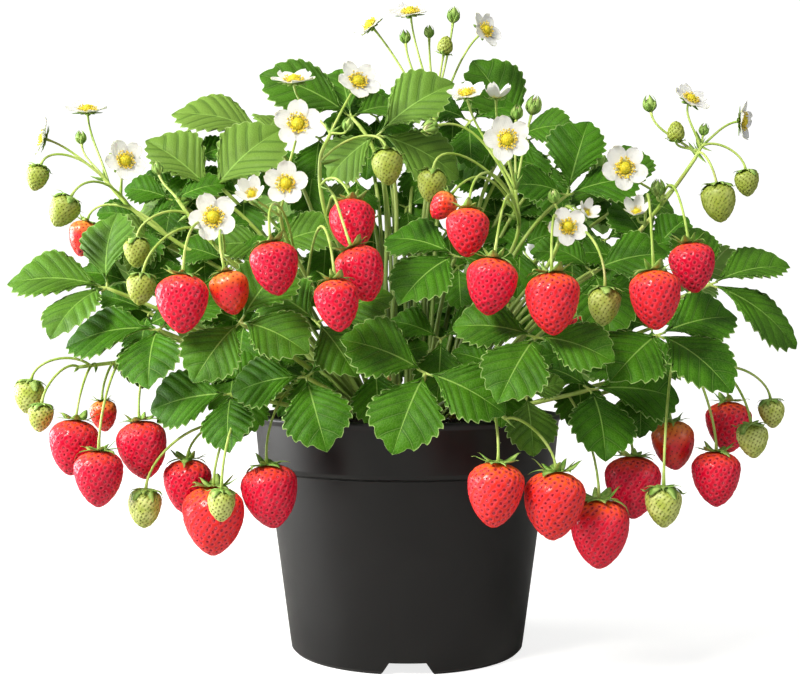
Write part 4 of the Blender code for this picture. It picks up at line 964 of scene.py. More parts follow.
# The crown and the ways out of it, as in the model: every stem starts where its node's stem does.
crownForm = {
    "seat": 117 * mm, "radius": 30 * mm, "height": 19 * mm, "seam": 0.3 * mm, "steepest": 12, "flattest": 76,
    "rings": 14, "steps": 56, "scales": 70, "scaleLength": (5, 10), "scaleWidth": 0.26,
    "scaleSlope": (8, 86), "scaleLift": (0.1, 0.7),
    "scaleThickness": 0.25 * mm, "scaleProfile": np.array([1.0, 1.15, 1.1, 0.85, 0.5, 0.06]),
}


# A place on the crown's dome, its way out there and the level way to it.
def crownSkin(azimuth, polar):
    form = crownForm
    around = vec(math.cos(azimuth), math.sin(azimuth), 0)
    point = around * form["radius"] * math.sin(polar) + up * (form["seat"] + form["height"] * math.cos(polar))
    outward = unit(around * math.sin(polar) / form["radius"] + up * math.cos(polar) / form["height"])
    return point, outward, around


def crownFoot(name, target):
    turn, drop = footShifts.get(name, (0, 0))
    rise = math.atan2(target[2] - crownForm["seat"], math.hypot(target[0], target[1]))
    lowest, highest = math.radians(crownForm["steepest"]), math.radians(crownForm["flattest"])
    polar = max(lowest, min(highest, math.pi / 2 - rise * 0.9)) + math.radians(drop)
    azimuth = math.atan2(target[1], target[0]) + math.radians(turn)
    point, outward, around = crownSkin(azimuth, polar)
    return point + outward * crownForm["seam"], outward


# Leaves: three leaflets on a stem. A leaflet's rows follow its side veins, each of which ends in a tooth.
# Fine and coarse are the rows to a vein and the columns from the midrib to the margin; for a stem they are
# the spans along it and the sides round it.
leafForm = {
    "veins": 9, "fine": (5, 7), "coarse": (3, 5), "halfWidth": 0.42, "widest": 0.56, "arch": 0.10,
    "fold": 0.16, "curl": 0.10, "sweep": 0.10, "veinSlant": 0.32, "foot": 0.7 * mm, "stalk": 2.2 * mm,
    "tooth": 0.078, "toothLean": 0.30, "toothPoint": 0.34, "notch": 0.45, "pleat": 0.8 * mm, "wave": 0.9 * mm,
    "thickness": 0.36 * mm, "petiole": 1.15 * mm, "stalklet": 0.75 * mm, "midrib": 0.4 * mm,
    "ribTip": 0.12 * mm, "fineStem": (22, 10), "coarseStem": (14, 6), "stemFlare": (1.7, 1.45, 1.2, 1.06),
}


def leafletOutline(share):
    widest = leafForm["widest"]
    low = np.sin(np.minimum(share, widest) / widest * math.pi / 2) ** 1.15
    fall = np.clip((share - widest) / (1 - widest), 0, 1) * math.pi / 2
    return np.where(share < widest, low, np.maximum(np.cos(fall), 0) ** 0.70)


# How far a tooth reaches at each part of its length: a point that leans to the tip of the leaf, then a notch.
def toothReach(part):
    point = leafForm["toothPoint"]
    steep = 1 - (np.minimum(part, point) / point) ** 1.3
    slow = np.sin(np.clip((part - point) / (1 - point), 0, 1) * math.pi / 2) ** 0.6
    return np.where(part < point, steep, slow)


def addLeaflet(parts, base, tip, face, rooms, chance, draw, grain):
    form = leafForm
    length = np.linalg.norm(tip)
    along = tip / length
    over = unit(face - along * (face @ along))
    left = np.cross(over, along)
    veins = form["veins"]
    rowsPerVein, columns = form[grain]
    rows, wide = veins * rowsPerVein, columns * 2 - 1
    row = np.arange(rows) / rowsPerVein
    share = row / veins
    out = np.linspace(-1, 1, wide)[None, :]
    reach = np.abs(out)
    halfWidth = form["halfWidth"] * length
    width = halfWidth * leafletOutline(share)
    widths = np.maximum(np.where(out > 0, rooms[0], rooms[1]) * width[:, None], form["foot"])
    ribAt = np.maximum(share - form["veinSlant"] * leafletOutline(share), 0.0)[:, None]
    edgeAt = (share + form["sweep"] * (1 - share))[:, None]
    # Teeth stand square to the margin, so they go on round the tip, and each leans a little towards it.
    ahead, aside = np.gradient(edgeAt[:, 0]) * length, np.gradient(width)
    steps = np.maximum(np.hypot(ahead, aside), 1e-9)
    size = smooth(0.3, 1.5, row) * form["tooth"] * length
    tooth = size * (1 - 0.3 * share) * toothReach(row % 1.0)
    proud = tooth - size * form["notch"]
    toothAhead = (ahead * form["toothLean"] * tooth - aside * proud) / steps
    toothAside = (ahead * proud + aside * form["toothLean"] * tooth) / steps
    margin = smooth(0.7, 1.0, reach)
    forward = ribAt + (edgeAt - ribAt) * reach + toothAhead[:, None] / length * margin
    forward = np.minimum(forward, 1.02)
    sideways = out * widths + np.sign(out) * toothAside[:, None] * margin
    arched = form["arch"] * length * 4
    fold = (form["fold"] * reach - form["curl"] * reach**2) * halfWidth
    pleat = form["pleat"] * (np.abs(np.sin(math.pi * row)) ** 0.7 * np.minimum(1, width / halfWidth * 1.6))
    phase, turns = draw.uniform(0, fullTurn), draw.uniform(1.0, 1.7)
    ripple = np.sin(fullTurn * turns * share[:, None] + phase + np.sign(out) * draw.uniform(0.4, 1.4))
    wave = form["wave"] * ripple * reach**2 * smooth(0.1, 0.5, share)[:, None]
    height = arched * forward * (1 - forward) + fold + pleat[:, None] * smooth(0.02, 0.3, reach) + wave
    middle = base + along * (forward * length)[..., None] + left * sideways[..., None]
    middle = middle + over * height[..., None]
    normal = sheetNormals(middle)
    half = form["thickness"] / 2
    away = normal * np.sign((normal * over).sum(axis=2, keepdims=True)) * half
    end = base + along * length * 1.03
    top = np.vstack([(middle + away).reshape(-1, 3), end + over * half])
    under = np.vstack([(middle - away).reshape(-1, 3), end - over * half])
    place = np.stack(np.broadcast_arrays(row[:, None], reach, chance), axis=-1).reshape(-1, 3)
    place = np.vstack([place, [veins, 0.0, chance]])
    count = rows * wide
    k = np.arange(count - wide, count - 1)
    faces = [gridFaces(rows, wide), np.stack([k, k + 1, np.full(wide - 1, count)], axis=-1)]
    # The grid's own order faces down when its columns run to the left.
    turned = np.cross(top[wide] - top[0], top[1] - top[0]) @ over > 0
    skins = ("leafUpperSkin", "leafUnderSkin", "leafEdge")
    addSheet(parts, top, under, faces, gridRim(rows, wide, count), skins, place, turned)
    if grain == "fine":
        shares = np.linspace(0, 0.92, 9)
        line = lineOut(base, along, shares * length, over, arched * shares * (1 - shares) - half * 1.6)
        addTube(parts, line, np.linspace(form["midrib"], form["ribTip"], 9), 5, "freshStem", chance)


# The leaflets in their order round the leaf, beginning after the widest gap between two.
def inOrder(tips, face):
    east = unit(tips[0] - face * (tips[0] @ face))
    north = np.cross(face, east)
    turns = [math.atan2(tip @ north, tip @ east) for tip in tips]
    order = sorted(range(3), key=lambda k: turns[k])
    gaps = [(turns[order[(k + 1) % 3]] - turns[order[k]]) % fullTurn for k in range(3)]
    widest = gaps.index(max(gaps))
    return [tips[order[(widest + 1 + k) % 3]] for k in range(3)]


# The share of its full width that a leaflet has on its side towards another one.
def roomBeside(tip, tips, other):
    if not 0 <= other < 3:
        return 1.0
    angle = math.acos(np.clip(unit(tip) @ unit(tips[other]), -1, 1))
    return min(1.0, 1.25 * math.tan(angle / 2))


def addLeaf(parts, leaf, foot, way, chance, draw, grain="fine"):
    form = leafForm
    at, face = vec(*leaf[0]) * mm, unit(vec(*leaf[1]))
    tips = inOrder([vec(*tip) * mm for tip in leaf[2]], face)
    for k, tip in enumerate(tips):
        rooms = [roomBeside(tip, tips, other) for other in (k + 1, k - 1)]
        along = unit(tip)
        base = at + along * form["stalk"]
        addLeaflet(parts, base, tip - along * form["stalk"], face, rooms, chance, draw, grain)
        first = at - face * 0.6 * mm + along * 0.7 * mm
        stalk = bezier(at - face * 1.0 * mm, first, base, base + along * 2 * mm, 4)
        radii = np.linspace(1.0, 0.6, 5) * form["stalklet"]
        addTube(parts, stalk - face * 0.25 * mm, radii, 6, "freshStem", chance)
    reach = np.linalg.norm(at - foot)
    end = at - face * 1.1 * mm
    approach = unit(unit(vec(at[0], at[1], 0)) * 0.75 + unit(at - foot) * 0.5 + face * 0.4)
    spans, sides = form[grain + "Stem"]
    line = bezier(foot, foot + way * reach * 0.4, end - approach * reach * 0.3, end, spans)
    radii = np.linspace(1.12, 0.92, spans + 1) * form["petiole"]
    radii[:4] *= form["stemFlare"]
    radii[-1] *= 0.8
    addTube(parts, line, radii, sides, "freshStem", chance)
    if grain == "fine":
        addStipules(parts, line, draw)
        addHairs(parts, line[4:], form["petiole"], draw)


# Two papery stipules clasp the foot of each leaf's stem.
stipuleForm = {
    "length": (11, 17), "gap": 1.5, "flare": 1.8, "thickness": 0.2 * mm,
    "widths": np.array([2.0, 2.4, 2.5, 2.2, 1.6, 0.9, 0.12]) * mm,
}


def addStipules(parts, line, draw):
    form = stipuleForm
    across, side, along = framed(line[3] - line[0], anyWay(draw, 0.3))
    shares = np.linspace(0, 1, 7)
    for outward in (across, -across):
        length = draw.uniform(*form["length"]) * mm
        spread = (form["gap"] + form["flare"] * shares**2 * draw.uniform(0.4, 1.4)) * mm
        blade = lineOut(line[0], along, shares * length, outward, spread)
        addBlade(parts, blade, form["widths"], form["thickness"], outward, "paperyStipule", draw.random())


def makeShoots():
    draw = random.Random(21)
    for name, leaves in leafPlan.items():
        parts = newParts()
        alone = len(leaves) == 1
        middle = sum(vec(*leaf[0]) * mm for leaf in leaves) / len(leaves)
        foot, outward = crownFoot(name, middle)
        for leaf in leaves:
            own = unit(vec(*leaf[0]) * mm - foot)
            way = outward if alone else unit(outward + own)
            aside = vec(0, 0, 0) if alone else unit(own - outward * (own @ outward)) * 0.6 * mm
            chance = draw.random() * 0.5
            # How much of the pale young tint the leaf takes; where set high this is partly a painted sheen.
            youngTintAndSheen = leaf[3] if len(leaf) > 3 else chance
            addLeaf(parts, leaf, foot + aside, way, youngTintAndSheen, draw, "coarse" if "back" in name else "fine")
        makeObject(name + "_skin", parts, "leaf", name)
    for k, at in enumerate(innerPlaces):
        parts = newParts()
        name = "leaf_inner_" + str(k + 1)
        foot, outward = crownFoot(name, vec(*at) * mm)
        tips = [[reach + draw.uniform(-3, 3) for reach in tip] for tip in innerTips]
        leaf = (at, (draw.uniform(-0.2, 0.2), -0.8, 0.6), tips)
        addLeaf(parts, leaf, foot, outward, draw.random() * 0.3, draw, "coarse")
        makeObject(name, parts, "leaf")


# Fruit: a turned body with a pit round each seed, the seeds set in a spiral. A ripe seed's half-axes are in
# millimetres. Each kind has its skin, its seeds and their gap beside a ripe one's.
fruitForm = {
    "length": 1.16, "seedGap": 3.05 * mm, "pitRadius": 1.05 * mm, "pitDepth": 0.62 * mm, "ridge": 0.20 * mm,
    "fine": (86, 42), "coarse": (54, 26), "lumps": 0.025, "scatter": 0.07, "seed": (0.4, 0.55, 0.3),
    "kinds": {
        "ripe": ("ripeBerrySkin", "ripeSeed", 1.0),
        "turning": ("turningBerrySkin", "ripeSeed", 0.88),
        "green": ("unripeBerrySkin", "unripeSeed", 0.64),
    },
}


def fruitOutline(share):
    share = np.clip(share, 0, 1)
    shoulder = np.sqrt(np.maximum(1 - (1 - np.minimum(share, 0.3) / 0.3) ** 2, 0))
    return np.where(share < 0.3, shoulder, (1 - (np.maximum(share - 0.3, 0) / 0.7) ** 2) ** 0.66)


# How much a fruit swells at each turn and share of its length.
def lumpiness(turn, share, lump):
    size = fruitForm["lumps"]
    second = 1 + size * 0.8 * np.sin(3 * turn - lump * 2 + 4 * share)
    return (1 + size * np.sin(2 * turn + lump + 2.2 * share)) * second


def addFruit(parts, place, frameWays, width, kind, chance, draw, fine=True):
    form = fruitForm
    skin, seed, closeness = form["kinds"][kind]
    across, side, along = frameWays
    length = width * form["length"]
    columns, rows = form["fine" if fine else "coarse"]
    # Rows are spread evenly along the skin, so that the tip and the shoulder are as fine as the flanks.
    dense = np.linspace(0, 1, 600)
    radius = width / 2 * fruitOutline(dense)
    step = np.hypot(np.diff(dense) * length, np.diff(radius))
    run = np.concatenate([[0], np.cumsum(step)])
    slope = np.clip(np.gradient(radius, dense * length), -3, 3)
    share = np.interp(np.linspace(0, run[-1], rows + 2)[1:-1], run, dense)[:, None]
    turn = np.arange(columns) / columns * fullTurn
    lump = draw.uniform(0, fullTurn)
    rings = width / 2 * fruitOutline(share) * lumpiness(turn, share, lump)
    way = wayOut(turn, across, side)
    points = (place + way * rings[..., None] + along * (share * length)[..., None]).reshape(-1, 3)
    area = np.concatenate([[0], np.cumsum(step * (radius[1:] + radius[:-1]) / 2 * fullTurn)])
    gap = form["seedGap"] * closeness
    seeds = int(area[-1] / gap**2)
    seedShare = np.interp((np.arange(seeds) + 0.5) / seeds * area[-1], area, dense)
    keep = (seedShare > 0.035) & (seedShare < 0.985)
    seedTurn = (np.arange(seeds) * goldenTurn + lump)[keep]
    seedShare = seedShare[keep]
    shift = np.array([[draw.gauss(0, 1), draw.gauss(0, 1)] for seed in seedShare]) * form["scatter"] * gap
    seedShare = np.clip(seedShare + shift[:, 0] / length, 0.03, 0.985)
    seedRing = width / 2 * fruitOutline(seedShare)
    seedTurn = seedTurn + shift[:, 1] / seedRing
    seedWay = wayOut(seedTurn, across, side)
    seedRing = seedRing * lumpiness(seedTurn, seedShare, lump)
    seedAt = place + seedWay * seedRing[:, None] + along * (seedShare * length)[:, None]
    away = np.sqrt(((points[:, None, :] - seedAt[None]) ** 2).sum(axis=2)).min(axis=1)
    pitRadius, depth = form["pitRadius"] * closeness**0.7, form["pitDepth"] * closeness**0.7
    pit = np.exp(-((away / pitRadius) ** 2))
    ridge = np.exp(-(((away - pitRadius * 1.5) / (pitRadius * 0.5)) ** 2)) * form["ridge"]
    normal = units(way - along * np.interp(share, dense, slope)[..., None]).reshape(-1, 3)
    points = np.vstack([points - normal * (pit * depth - ridge)[:, None], place, place + along * length])
    skinPlace = np.stack([np.repeat(share, columns), pit, np.full(len(pit), chance)], axis=-1)
    skinPlace = np.vstack([skinPlace, [0, 0, chance], [1, 0, chance]])
    addBody(parts, points, rows, columns, skin, skinPlace)
    seedNormal = units(seedWay - along * np.interp(seedShare, dense, slope)[:, None])
    down = units(along - seedNormal * (seedNormal @ along)[:, None])
    ways = np.stack([np.cross(seedNormal, down), down, seedNormal], axis=1) * np.array(form["seed"])[:, None]
    addGrains(parts, seedAt - seedNormal * depth * 0.62, ways * closeness**0.5 * mm, seed, chance)


# The ways out to ten sepals, by turns broad and narrow.
def sepalWays(frameWays, draw, scatter=0.0):
    across, side, along = frameWays
    spin = draw.uniform(0, fullTurn)
    for lobe in range(10):
        shift = draw.uniform(-scatter, scatter) if scatter else 0.0
        yield wayOut(spin + lobe / 10 * fullTurn + shift, across, side), lobe % 2 == 0


# Sepals over a fruit's shoulder, flared and partly curled back. The calyx is full-grown before its fruit is,
# so it is large on a green one.
calyxForm = {
    "ripe": {"size": 1.0, "curl": (0.0, 1.15), "width": 1.1},
    "green": {"size": 1.35, "curl": (-0.1, 0.6), "width": 1.35},
    "broad": (0.43, 0.115), "narrow": (0.36, 0.07), "thickness": 0.22 * mm,
    "profile": np.array([0.55, 0.85, 1.0, 1.0, 0.9, 0.72, 0.5, 0.26, 0.04]),
}


def addCalyx(parts, place, frameWays, width, kind, draw):
    form = calyxForm["green" if kind == "green" else "ripe"]
    along = frameWays[2]
    size = width * form["size"]
    shares = np.linspace(0, 1, 9)
    for outward, broad in sepalWays(frameWays, draw, 0.1):
        longest, widest = calyxForm["broad" if broad else "narrow"]
        reach = size * longest * draw.uniform(0.85, 1.12)
        curl = draw.uniform(*form["curl"])
        radius = size * 0.04 + shares * reach
        inside = np.clip(1 - (2 * radius / width) ** 2, 0, 1)
        shoulder = 0.3 * width * fruitForm["length"] * (1 - np.sqrt(inside))
        bent = smooth(0.25, 1.0, shares) * curl
        height = shoulder * (1 - 0.8 * bent / max(curl, 1)) - 0.1 * mm - size * (0.04 * shares + 0.16 * bent)
        lean = np.cross(along, outward) * (shares**2 * draw.uniform(-0.06, 0.06) * size)[:, None]
        line = lineOut(place, outward, radius, along, height) + lean
        widths = calyxForm["profile"] * size * widest * form["width"]
        addBlade(parts, line, widths, calyxForm["thickness"], -along, "sepalSkin", draw.random())


petalForm = {"rows": 9, "columns": 9, "thickness": 0.22 * mm, "claw": 0.10, "width": 0.42, "lift": 0.9 * mm}


def addPetal(parts, place, frameWays, turn, radius, cup, lean, draw):
    form = petalForm
    across, side, along = frameWays
    outward = wayOut(turn, across, side)
    tangent = np.cross(along, outward)
    rows, columns = form["rows"], form["columns"]
    a = np.linspace(0, 1, rows)[:, None]
    b = np.linspace(-1, 1, columns)[None, :]
    broad = (1 - np.abs(2 * (0.02 + 0.965 * a) ** 1.15 - 1) ** 2.1) ** 0.5
    sideways = b * radius * form["width"] * broad * draw.uniform(0.94, 1.05)
    notch = 1 - 0.02 * (1 - b**2) ** 4 * smooth(0.8, 1.0, a)
    reach = radius * (form["claw"] + (1 - form["claw"]) * a * notch)
    ripple = draw.uniform(-1, 1) * np.sin(math.pi * (b * 1.5 + draw.uniform(-0.5, 0.5))) * a**2 * 0.015
    dish = 0.13 * b**2 * a * (1 - 0.3 * a)
    height = cup * a**1.7 + (dish + ripple + b * lean * a) * radius + form["lift"]
    middle = place + outward * reach[..., None] + tangent * sideways[..., None] + along * height[..., None]
    half = form["thickness"] / 2 * (0.35 + 0.65 * np.sqrt(np.clip(1 - b**2, 0, 1)))[..., None]
    away = sheetNormals(middle) * half
    top, under = (middle + away).reshape(-1, 3), (middle - away).reshape(-1, 3)
    skinPlace = np.stack(np.broadcast_arrays(a, np.abs(b), draw.random()), axis=-1).reshape(-1, 3)
    rim = gridRim(rows, columns)
    addSheet(parts, top, under, [gridFaces(rows, columns)], rim, ("silkyPetal",) * 3, skinPlace, True)


# The sepals behind an open flower; broad and narrow are their lengths beside its width.
cupForm = {
    "broad": 0.36, "narrow": 0.288, "width": 0.20, "thickness": 0.18 * mm,
    "profile": np.array([0.7, 1.0, 0.95, 0.7, 0.4, 0.05]),
}


def addCup(parts, place, frameWays, width, rise, draw):
    form = cupForm
    along = frameWays[2]
    shares = np.linspace(0, 1, 6)
    for outward, broad in sepalWays(frameWays, draw):
        size = width * form["broad" if broad else "narrow"] * draw.uniform(0.92, 1.08)
        out = 0.4 * mm + size * np.sin(shares * math.pi / 2)
        line = lineOut(place, outward, out, along, rise * size * shares**1.6 - 0.3 * mm)
        widths = form["profile"] * form["width"] * size
        addBlade(parts, line, widths, form["thickness"], -along, "sepalSkin", draw.random())


# The dome of pistils and the stamens round it. Grain sizes are in millimetres for a flower 24 mm across, and
# the stamens' reach and height are shares of its width.
heartForm = {
    "dome": 0.13, "rings": 6, "steps": 14, "pistils": 54, "pistil": (0.36, 0.36, 0.612), "stamens": 42,
    "reach": (0.145, 0.235), "height": (0.03, 0.10), "filament": 0.2 * mm, "anther": (0.55, 0.62, 0.45),
}


def addHeart(parts, place, frameWays, width, draw):
    form = heartForm
    across, side, along = frameWays
    dome, scale = width * form["dome"], width / 24
    rings, columns, count = form["rings"], form["steps"], form["pistils"]
    circle = wayOut(np.arange(columns) / columns * fullTurn, across, side)
    points = [
        place + circle * dome * math.sin(polar) + along * dome * 1.05 * math.cos(polar)
        for polar in np.linspace(math.pi / 2, 0.12, rings)
    ]
    points = np.vstack(points + [place - along * 0.2 * mm, place + along * dome * 1.06])
    addBody(parts, points, rings, columns, "pistilDome", vec(0, 0, 0.5))
    k = np.arange(count)
    polar = np.arccos(1 - (k + 0.5) / count)[:, None]
    normal = wayOut(k * goldenTurn, across, side) * np.sin(polar) + along * np.cos(polar)
    beside = units(np.cross(normal, along + across * 0.3))
    ways = np.stack([beside, np.cross(normal, beside), normal], axis=1)
    ways = ways * np.array(form["pistil"])[:, None] * scale
    addGrains(parts, place + normal * dome * 1.02, ways, "pistilDome", 0.5)
    for k in range(form["stamens"]):
        way = wayOut(k / form["stamens"] * fullTurn + draw.uniform(-0.1, 0.1), across, side)
        out, high = width * draw.uniform(*form["reach"]), along * width * draw.uniform(*form["height"])
        tip = place + way * out
        root, bend = place + way * dome * 0.95, place + way * dome * 1.1 + high * 0.6
        line = bezier(root, bend, tip + high * 0.8, tip + high, 3)
        addTube(parts, line, np.full(4, form["filament"]), 3, "filamentSkin")
        ways = np.stack([way, np.cross(along, way), along]) * np.array(form["anther"])[:, None] * scale
        addGrains(parts, (tip + high + along * 0.2 * mm)[None], ways[None], "antherDust", draw.random())


def addFlower(parts, place, frameWays, width, cup, draw):
    spin = draw.uniform(0, fullTurn)
    for petal in range(5):
        turn = spin + petal / 5 * fullTurn + draw.uniform(-0.06, 0.06)
        lean = draw.choice([0.02, 0.04, -0.03])
        lift = cup + draw.uniform(-0.03, 0.03) * width
        addPetal(parts, place, frameWays, turn, width / 2, lift, lean, draw)
    addHeart(parts, place + frameWays[2] * 0.8 * mm, frameWays, width, draw)
    addCup(parts, place, frameWays, width, cup / width * 0.8, draw)


# A closed bud inside its sepals. Each kind of sepal: how far it swells, its length and its width.
budForm = {
    "rings": 7, "steps": 10, "swell": 0.44, "length": 1.05, "thickness": 0.2 * mm,
    "broad": (0.46, 1.22, 0.24), "narrow": (0.50, 0.95, 0.15),
    "profile": np.array([0.6, 0.95, 1.1, 1.05, 0.85, 0.6, 0.32, 0.04]),
}


def addBud(parts, place, frameWays, width, draw):
    form = budForm
    across, side, along = frameWays
    rings, columns = form["rings"], form["steps"]
    share = np.linspace(0.08, 0.94, rings)[:, None]
    radius = width * form["swell"] * np.sin(share * math.pi) ** 0.7 * (1 - 0.25 * share)
    circle = wayOut(np.arange(columns) / columns * fullTurn, across, side)
    points = place + circle * radius[..., None] + along * (share * width * form["length"])[..., None]
    points = np.vstack([points.reshape(-1, 3), place, place + along * width * 1.08])
    addBody(parts, points, rings, columns, "silkyPetal", vec(0.2, 0.5, 0.5))
    shares = np.linspace(0, 1, 8)
    swell = np.sin(math.pi * np.clip(shares * 0.86 + 0.06, 0, 1)) ** 0.7
    for outward, broad in sepalWays(frameWays, draw):
        out, high, wide = form["broad" if broad else "narrow"]
        line = lineOut(place, outward, width * out * swell, along, shares * width * high)
        widths = form["profile"] * width * wide
        addBlade(parts, line, widths, form["thickness"], outward, "sepalSkin", draw.random())


# Stalks carry a spray's thin stems, and each stem one organ. An open flower is nearly flat, and a half-open
# one is cupped by this share of its width.
stemForm = {
    "peduncle": 1.35 * mm, "pedicel": 0.7 * mm, "sides": (10, 8), "flower": 0.07, "half_open": 0.4,
    "hangingLift": 0.34, "standingLift": 0.04,
}


def addOrgan(parts, organ, stalk, draw, berries):
    form = stemForm
    kind, middle, axis, width, share, *node = organ
    middle, axis, width = vec(*middle) * mm, unit(vec(*axis)), width * mm
    start = stalk[round(share * (len(stalk) - 1))]
    if kind in fruitForm["kinds"]:
        back = width * fruitForm["length"] / 2
    else:
        back = width * 0.5 if kind == "bud" else 1 * mm
    end = middle - axis * back
    reach = np.linalg.norm(end - start)
    lift = form["hangingLift" if axis[2] < -0.2 else "standingLift"]
    first = start + (end - start) * 0.33 + up * reach * lift
    line = bezier(start, first, end - axis * reach * 0.34, end - axis * 0.2 * mm, 14)
    radii = form["pedicel"] * np.linspace(1.05, 0.85, 15)
    radii[-2:] *= (1.15, 1.5)
    addTube(parts, line, radii, form["sides"][1], "freshStem", draw.random())
    addHairs(parts, line, form["pedicel"], draw)
    ways = framed(axis, up if abs(axis[2]) < 0.9 else vec(1, 0, 0))
    if kind in ("flower", "half_open"):
        addFlower(parts, end, ways, width, width * form[kind], draw)
    elif kind == "bud":
        addBud(parts, end, ways, width, draw)
    else:
        addCalyx(parts, end, ways, width, kind, draw)
        if node:
            parts = berries[node[0]] = newParts()
            end = end + axis * 0.4 * mm
        addFruit(parts, end, ways, width, kind, draw.random(), draw, fine=bool(node))
    return start


# A small leafy bract where an organ's stem leaves the stalk.
bractForm = {
    "length": (5, 10), "width": 0.16, "bend": 0.35, "thickness": 0.2 * mm,
    "profile": np.array([0.8, 1.0, 1.0, 0.85, 0.6, 0.35, 0.05]),
}


def addBract(parts, at, way, draw):
    form = bractForm
    across, side, along = framed(way, anyWay(draw, 0.8))
    length = draw.uniform(*form["length"]) * mm
    shares = np.linspace(0, 1, 7)
    line = lineOut(at, along, shares * length, across, shares**1.5 * length * form["bend"])
    widths = form["profile"] * length * form["width"]
    addBlade(parts, line, widths, form["thickness"], across, "sepalSkin", draw.random())


def makeSprays():
    draw = random.Random(8)
    berries = {}
    for name, stalks in sprayPlan.items():
        parts = newParts()
        middle = sum(vec(*route[0]) * mm for route, *organs in stalks) / len(stalks)
        foot, outward = crownFoot(name, middle)
        for k, (route, *organs) in enumerate(stalks):
            route = [vec(*point) * mm for point in route]
            own = unit(route[0] - foot)
            start = foot + unit(np.cross(up, outward)) * (k - (len(stalks) - 1) / 2) * 1.5 * mm
            way = outward if len(stalks) == 1 else unit(outward + own)
            line = through([start, start + way * 12 * mm] + route, 8)
            radii = stemForm["peduncle"] * np.linspace(1.0, 0.72, len(line))
            addTube(parts, line, radii, stemForm["sides"][0], "freshStem", draw.random())
            addHairs(parts, line[9:], stemForm["peduncle"] * 0.85, draw)
            for organ in organs:
                start = addOrgan(parts, organ, line, draw, berries)
                addBract(parts, start, unit(vec(*organ[1]) * mm - start), draw)
        makeObject(name + "_stems", parts, "spray", name)
    for name, parts in berries.items():
        makeObject(name + "_skin", parts, "ripe_berry", name)


# The pot: a turned wall with a foot ring, cut by four notches and four drain holes.
potForm = {
    "height": 130 * mm, "rimRadius": 86 * mm, "collarRadius": 82.2 * mm, "collarBottom": 103.5 * mm,
    "wallTop": 77.4 * mm, "footRadius": 64.3 * mm, "wallFrom": 2 * mm, "wallTo": 100 * mm, "wall": 1.6 * mm,
    "shoulder": 99 * mm,
    "footRing": 4.5 * mm, "floorUnder": 7 * mm, "lip": 3.8 * mm, "step": 0.4 * mm, "fillet": 0.5 * mm,
    "steps": 128, "sharpFrom": 32, "drainRadius": 4 * mm, "drainRing": 38 * mm,
    "notchHeight": 6.5 * mm, "notchTop": 19 * mm, "notchBottom": 28.6 * mm, "notchDepth": 22 * mm,
}


def wallRadius(height):
    form = potForm
    share = (height - form["wallFrom"]) / (form["wallTo"] - form["wallFrom"])
    return form["footRadius"] + share * (form["wallTop"] - form["footRadius"])


# Each inner corner of the profile is rounded off by a short curve.
def rounded(profile, fillet):
    profile = [vec(*point) for point in profile]
    line = [profile[0]]
    for before, here, after in zip(profile, profile[1:], profile[2:]):
        back, ahead = before - here, after - here
        size = min(fillet, np.linalg.norm(back) * 0.45, np.linalg.norm(ahead) * 0.45)
        first, last = here + unit(back) * size, here + unit(ahead) * size
        for t in (0, 0.33, 0.67, 1):
            line.append(first * (1 - t) ** 2 + here * 2 * t * (1 - t) + last * t**2)
    return np.array(line + [profile[-1]])


# The profile runs from axis to axis, (radius, height), and is turned about the pot's axis. relief says how
# far each point is raised.
def turnedBody(parts, profile, steps, finish, relief=None):
    circle = wayOut(np.arange(steps) / steps * fullTurn, vec(1, 0, 0), vec(0, 1, 0))
    inner = profile[1:-1, :, None, None]
    points = circle * inner[:, 0] + up * inner[:, 1]
    if relief:
        points[..., 2] += relief(points)
    points = np.vstack([points.reshape(-1, 3), [0, 0, profile[0][1]], [0, 0, profile[-1][1]]])
    addBody(parts, points, len(inner), steps, finish, turned=True)


def notchCutter():
    form = potForm
    cutter = bmesh.new()
    bmesh.ops.create_cube(cutter, size=1.0)
    for corner in cutter.verts:
        high = corner.co.z > 0
        corner.co.x *= form["notchTop"] if high else form["notchBottom"]
        corner.co.y = -form["footRadius"] + corner.co.y * form["notchDepth"]
        corner.co.z = form["notchHeight"] if high else -1 * mm
    return cutter


def drainCutter():
    radius = potForm["drainRadius"]
    cutter = bmesh.new()
    bmesh.ops.create_cone(cutter, cap_ends=True, segments=48, depth=20 * mm, radius1=radius, radius2=radius)
    bmesh.ops.translate(cutter, verts=cutter.verts, vec=(potForm["drainRing"], 0, potForm["floorUnder"]))
    return cutter


def cutPot(pot, cutter, turn):
    bmesh.ops.rotate(cutter, verts=cutter.verts, matrix=Matrix.Rotation(turn, 3, "Z"))
    mesh = bpy.data.meshes.new("cutter")
    cutter.to_mesh(mesh)
    cutter.free()
    solid = bpy.data.objects.new("cutter", mesh)
    bpy.context.scene.collection.objects.link(solid)
    cut = pot.modifiers.new("cut", "BOOLEAN")
    cut.operation = "DIFFERENCE"
    cut.solver = "EXACT"
    cut.object = solid


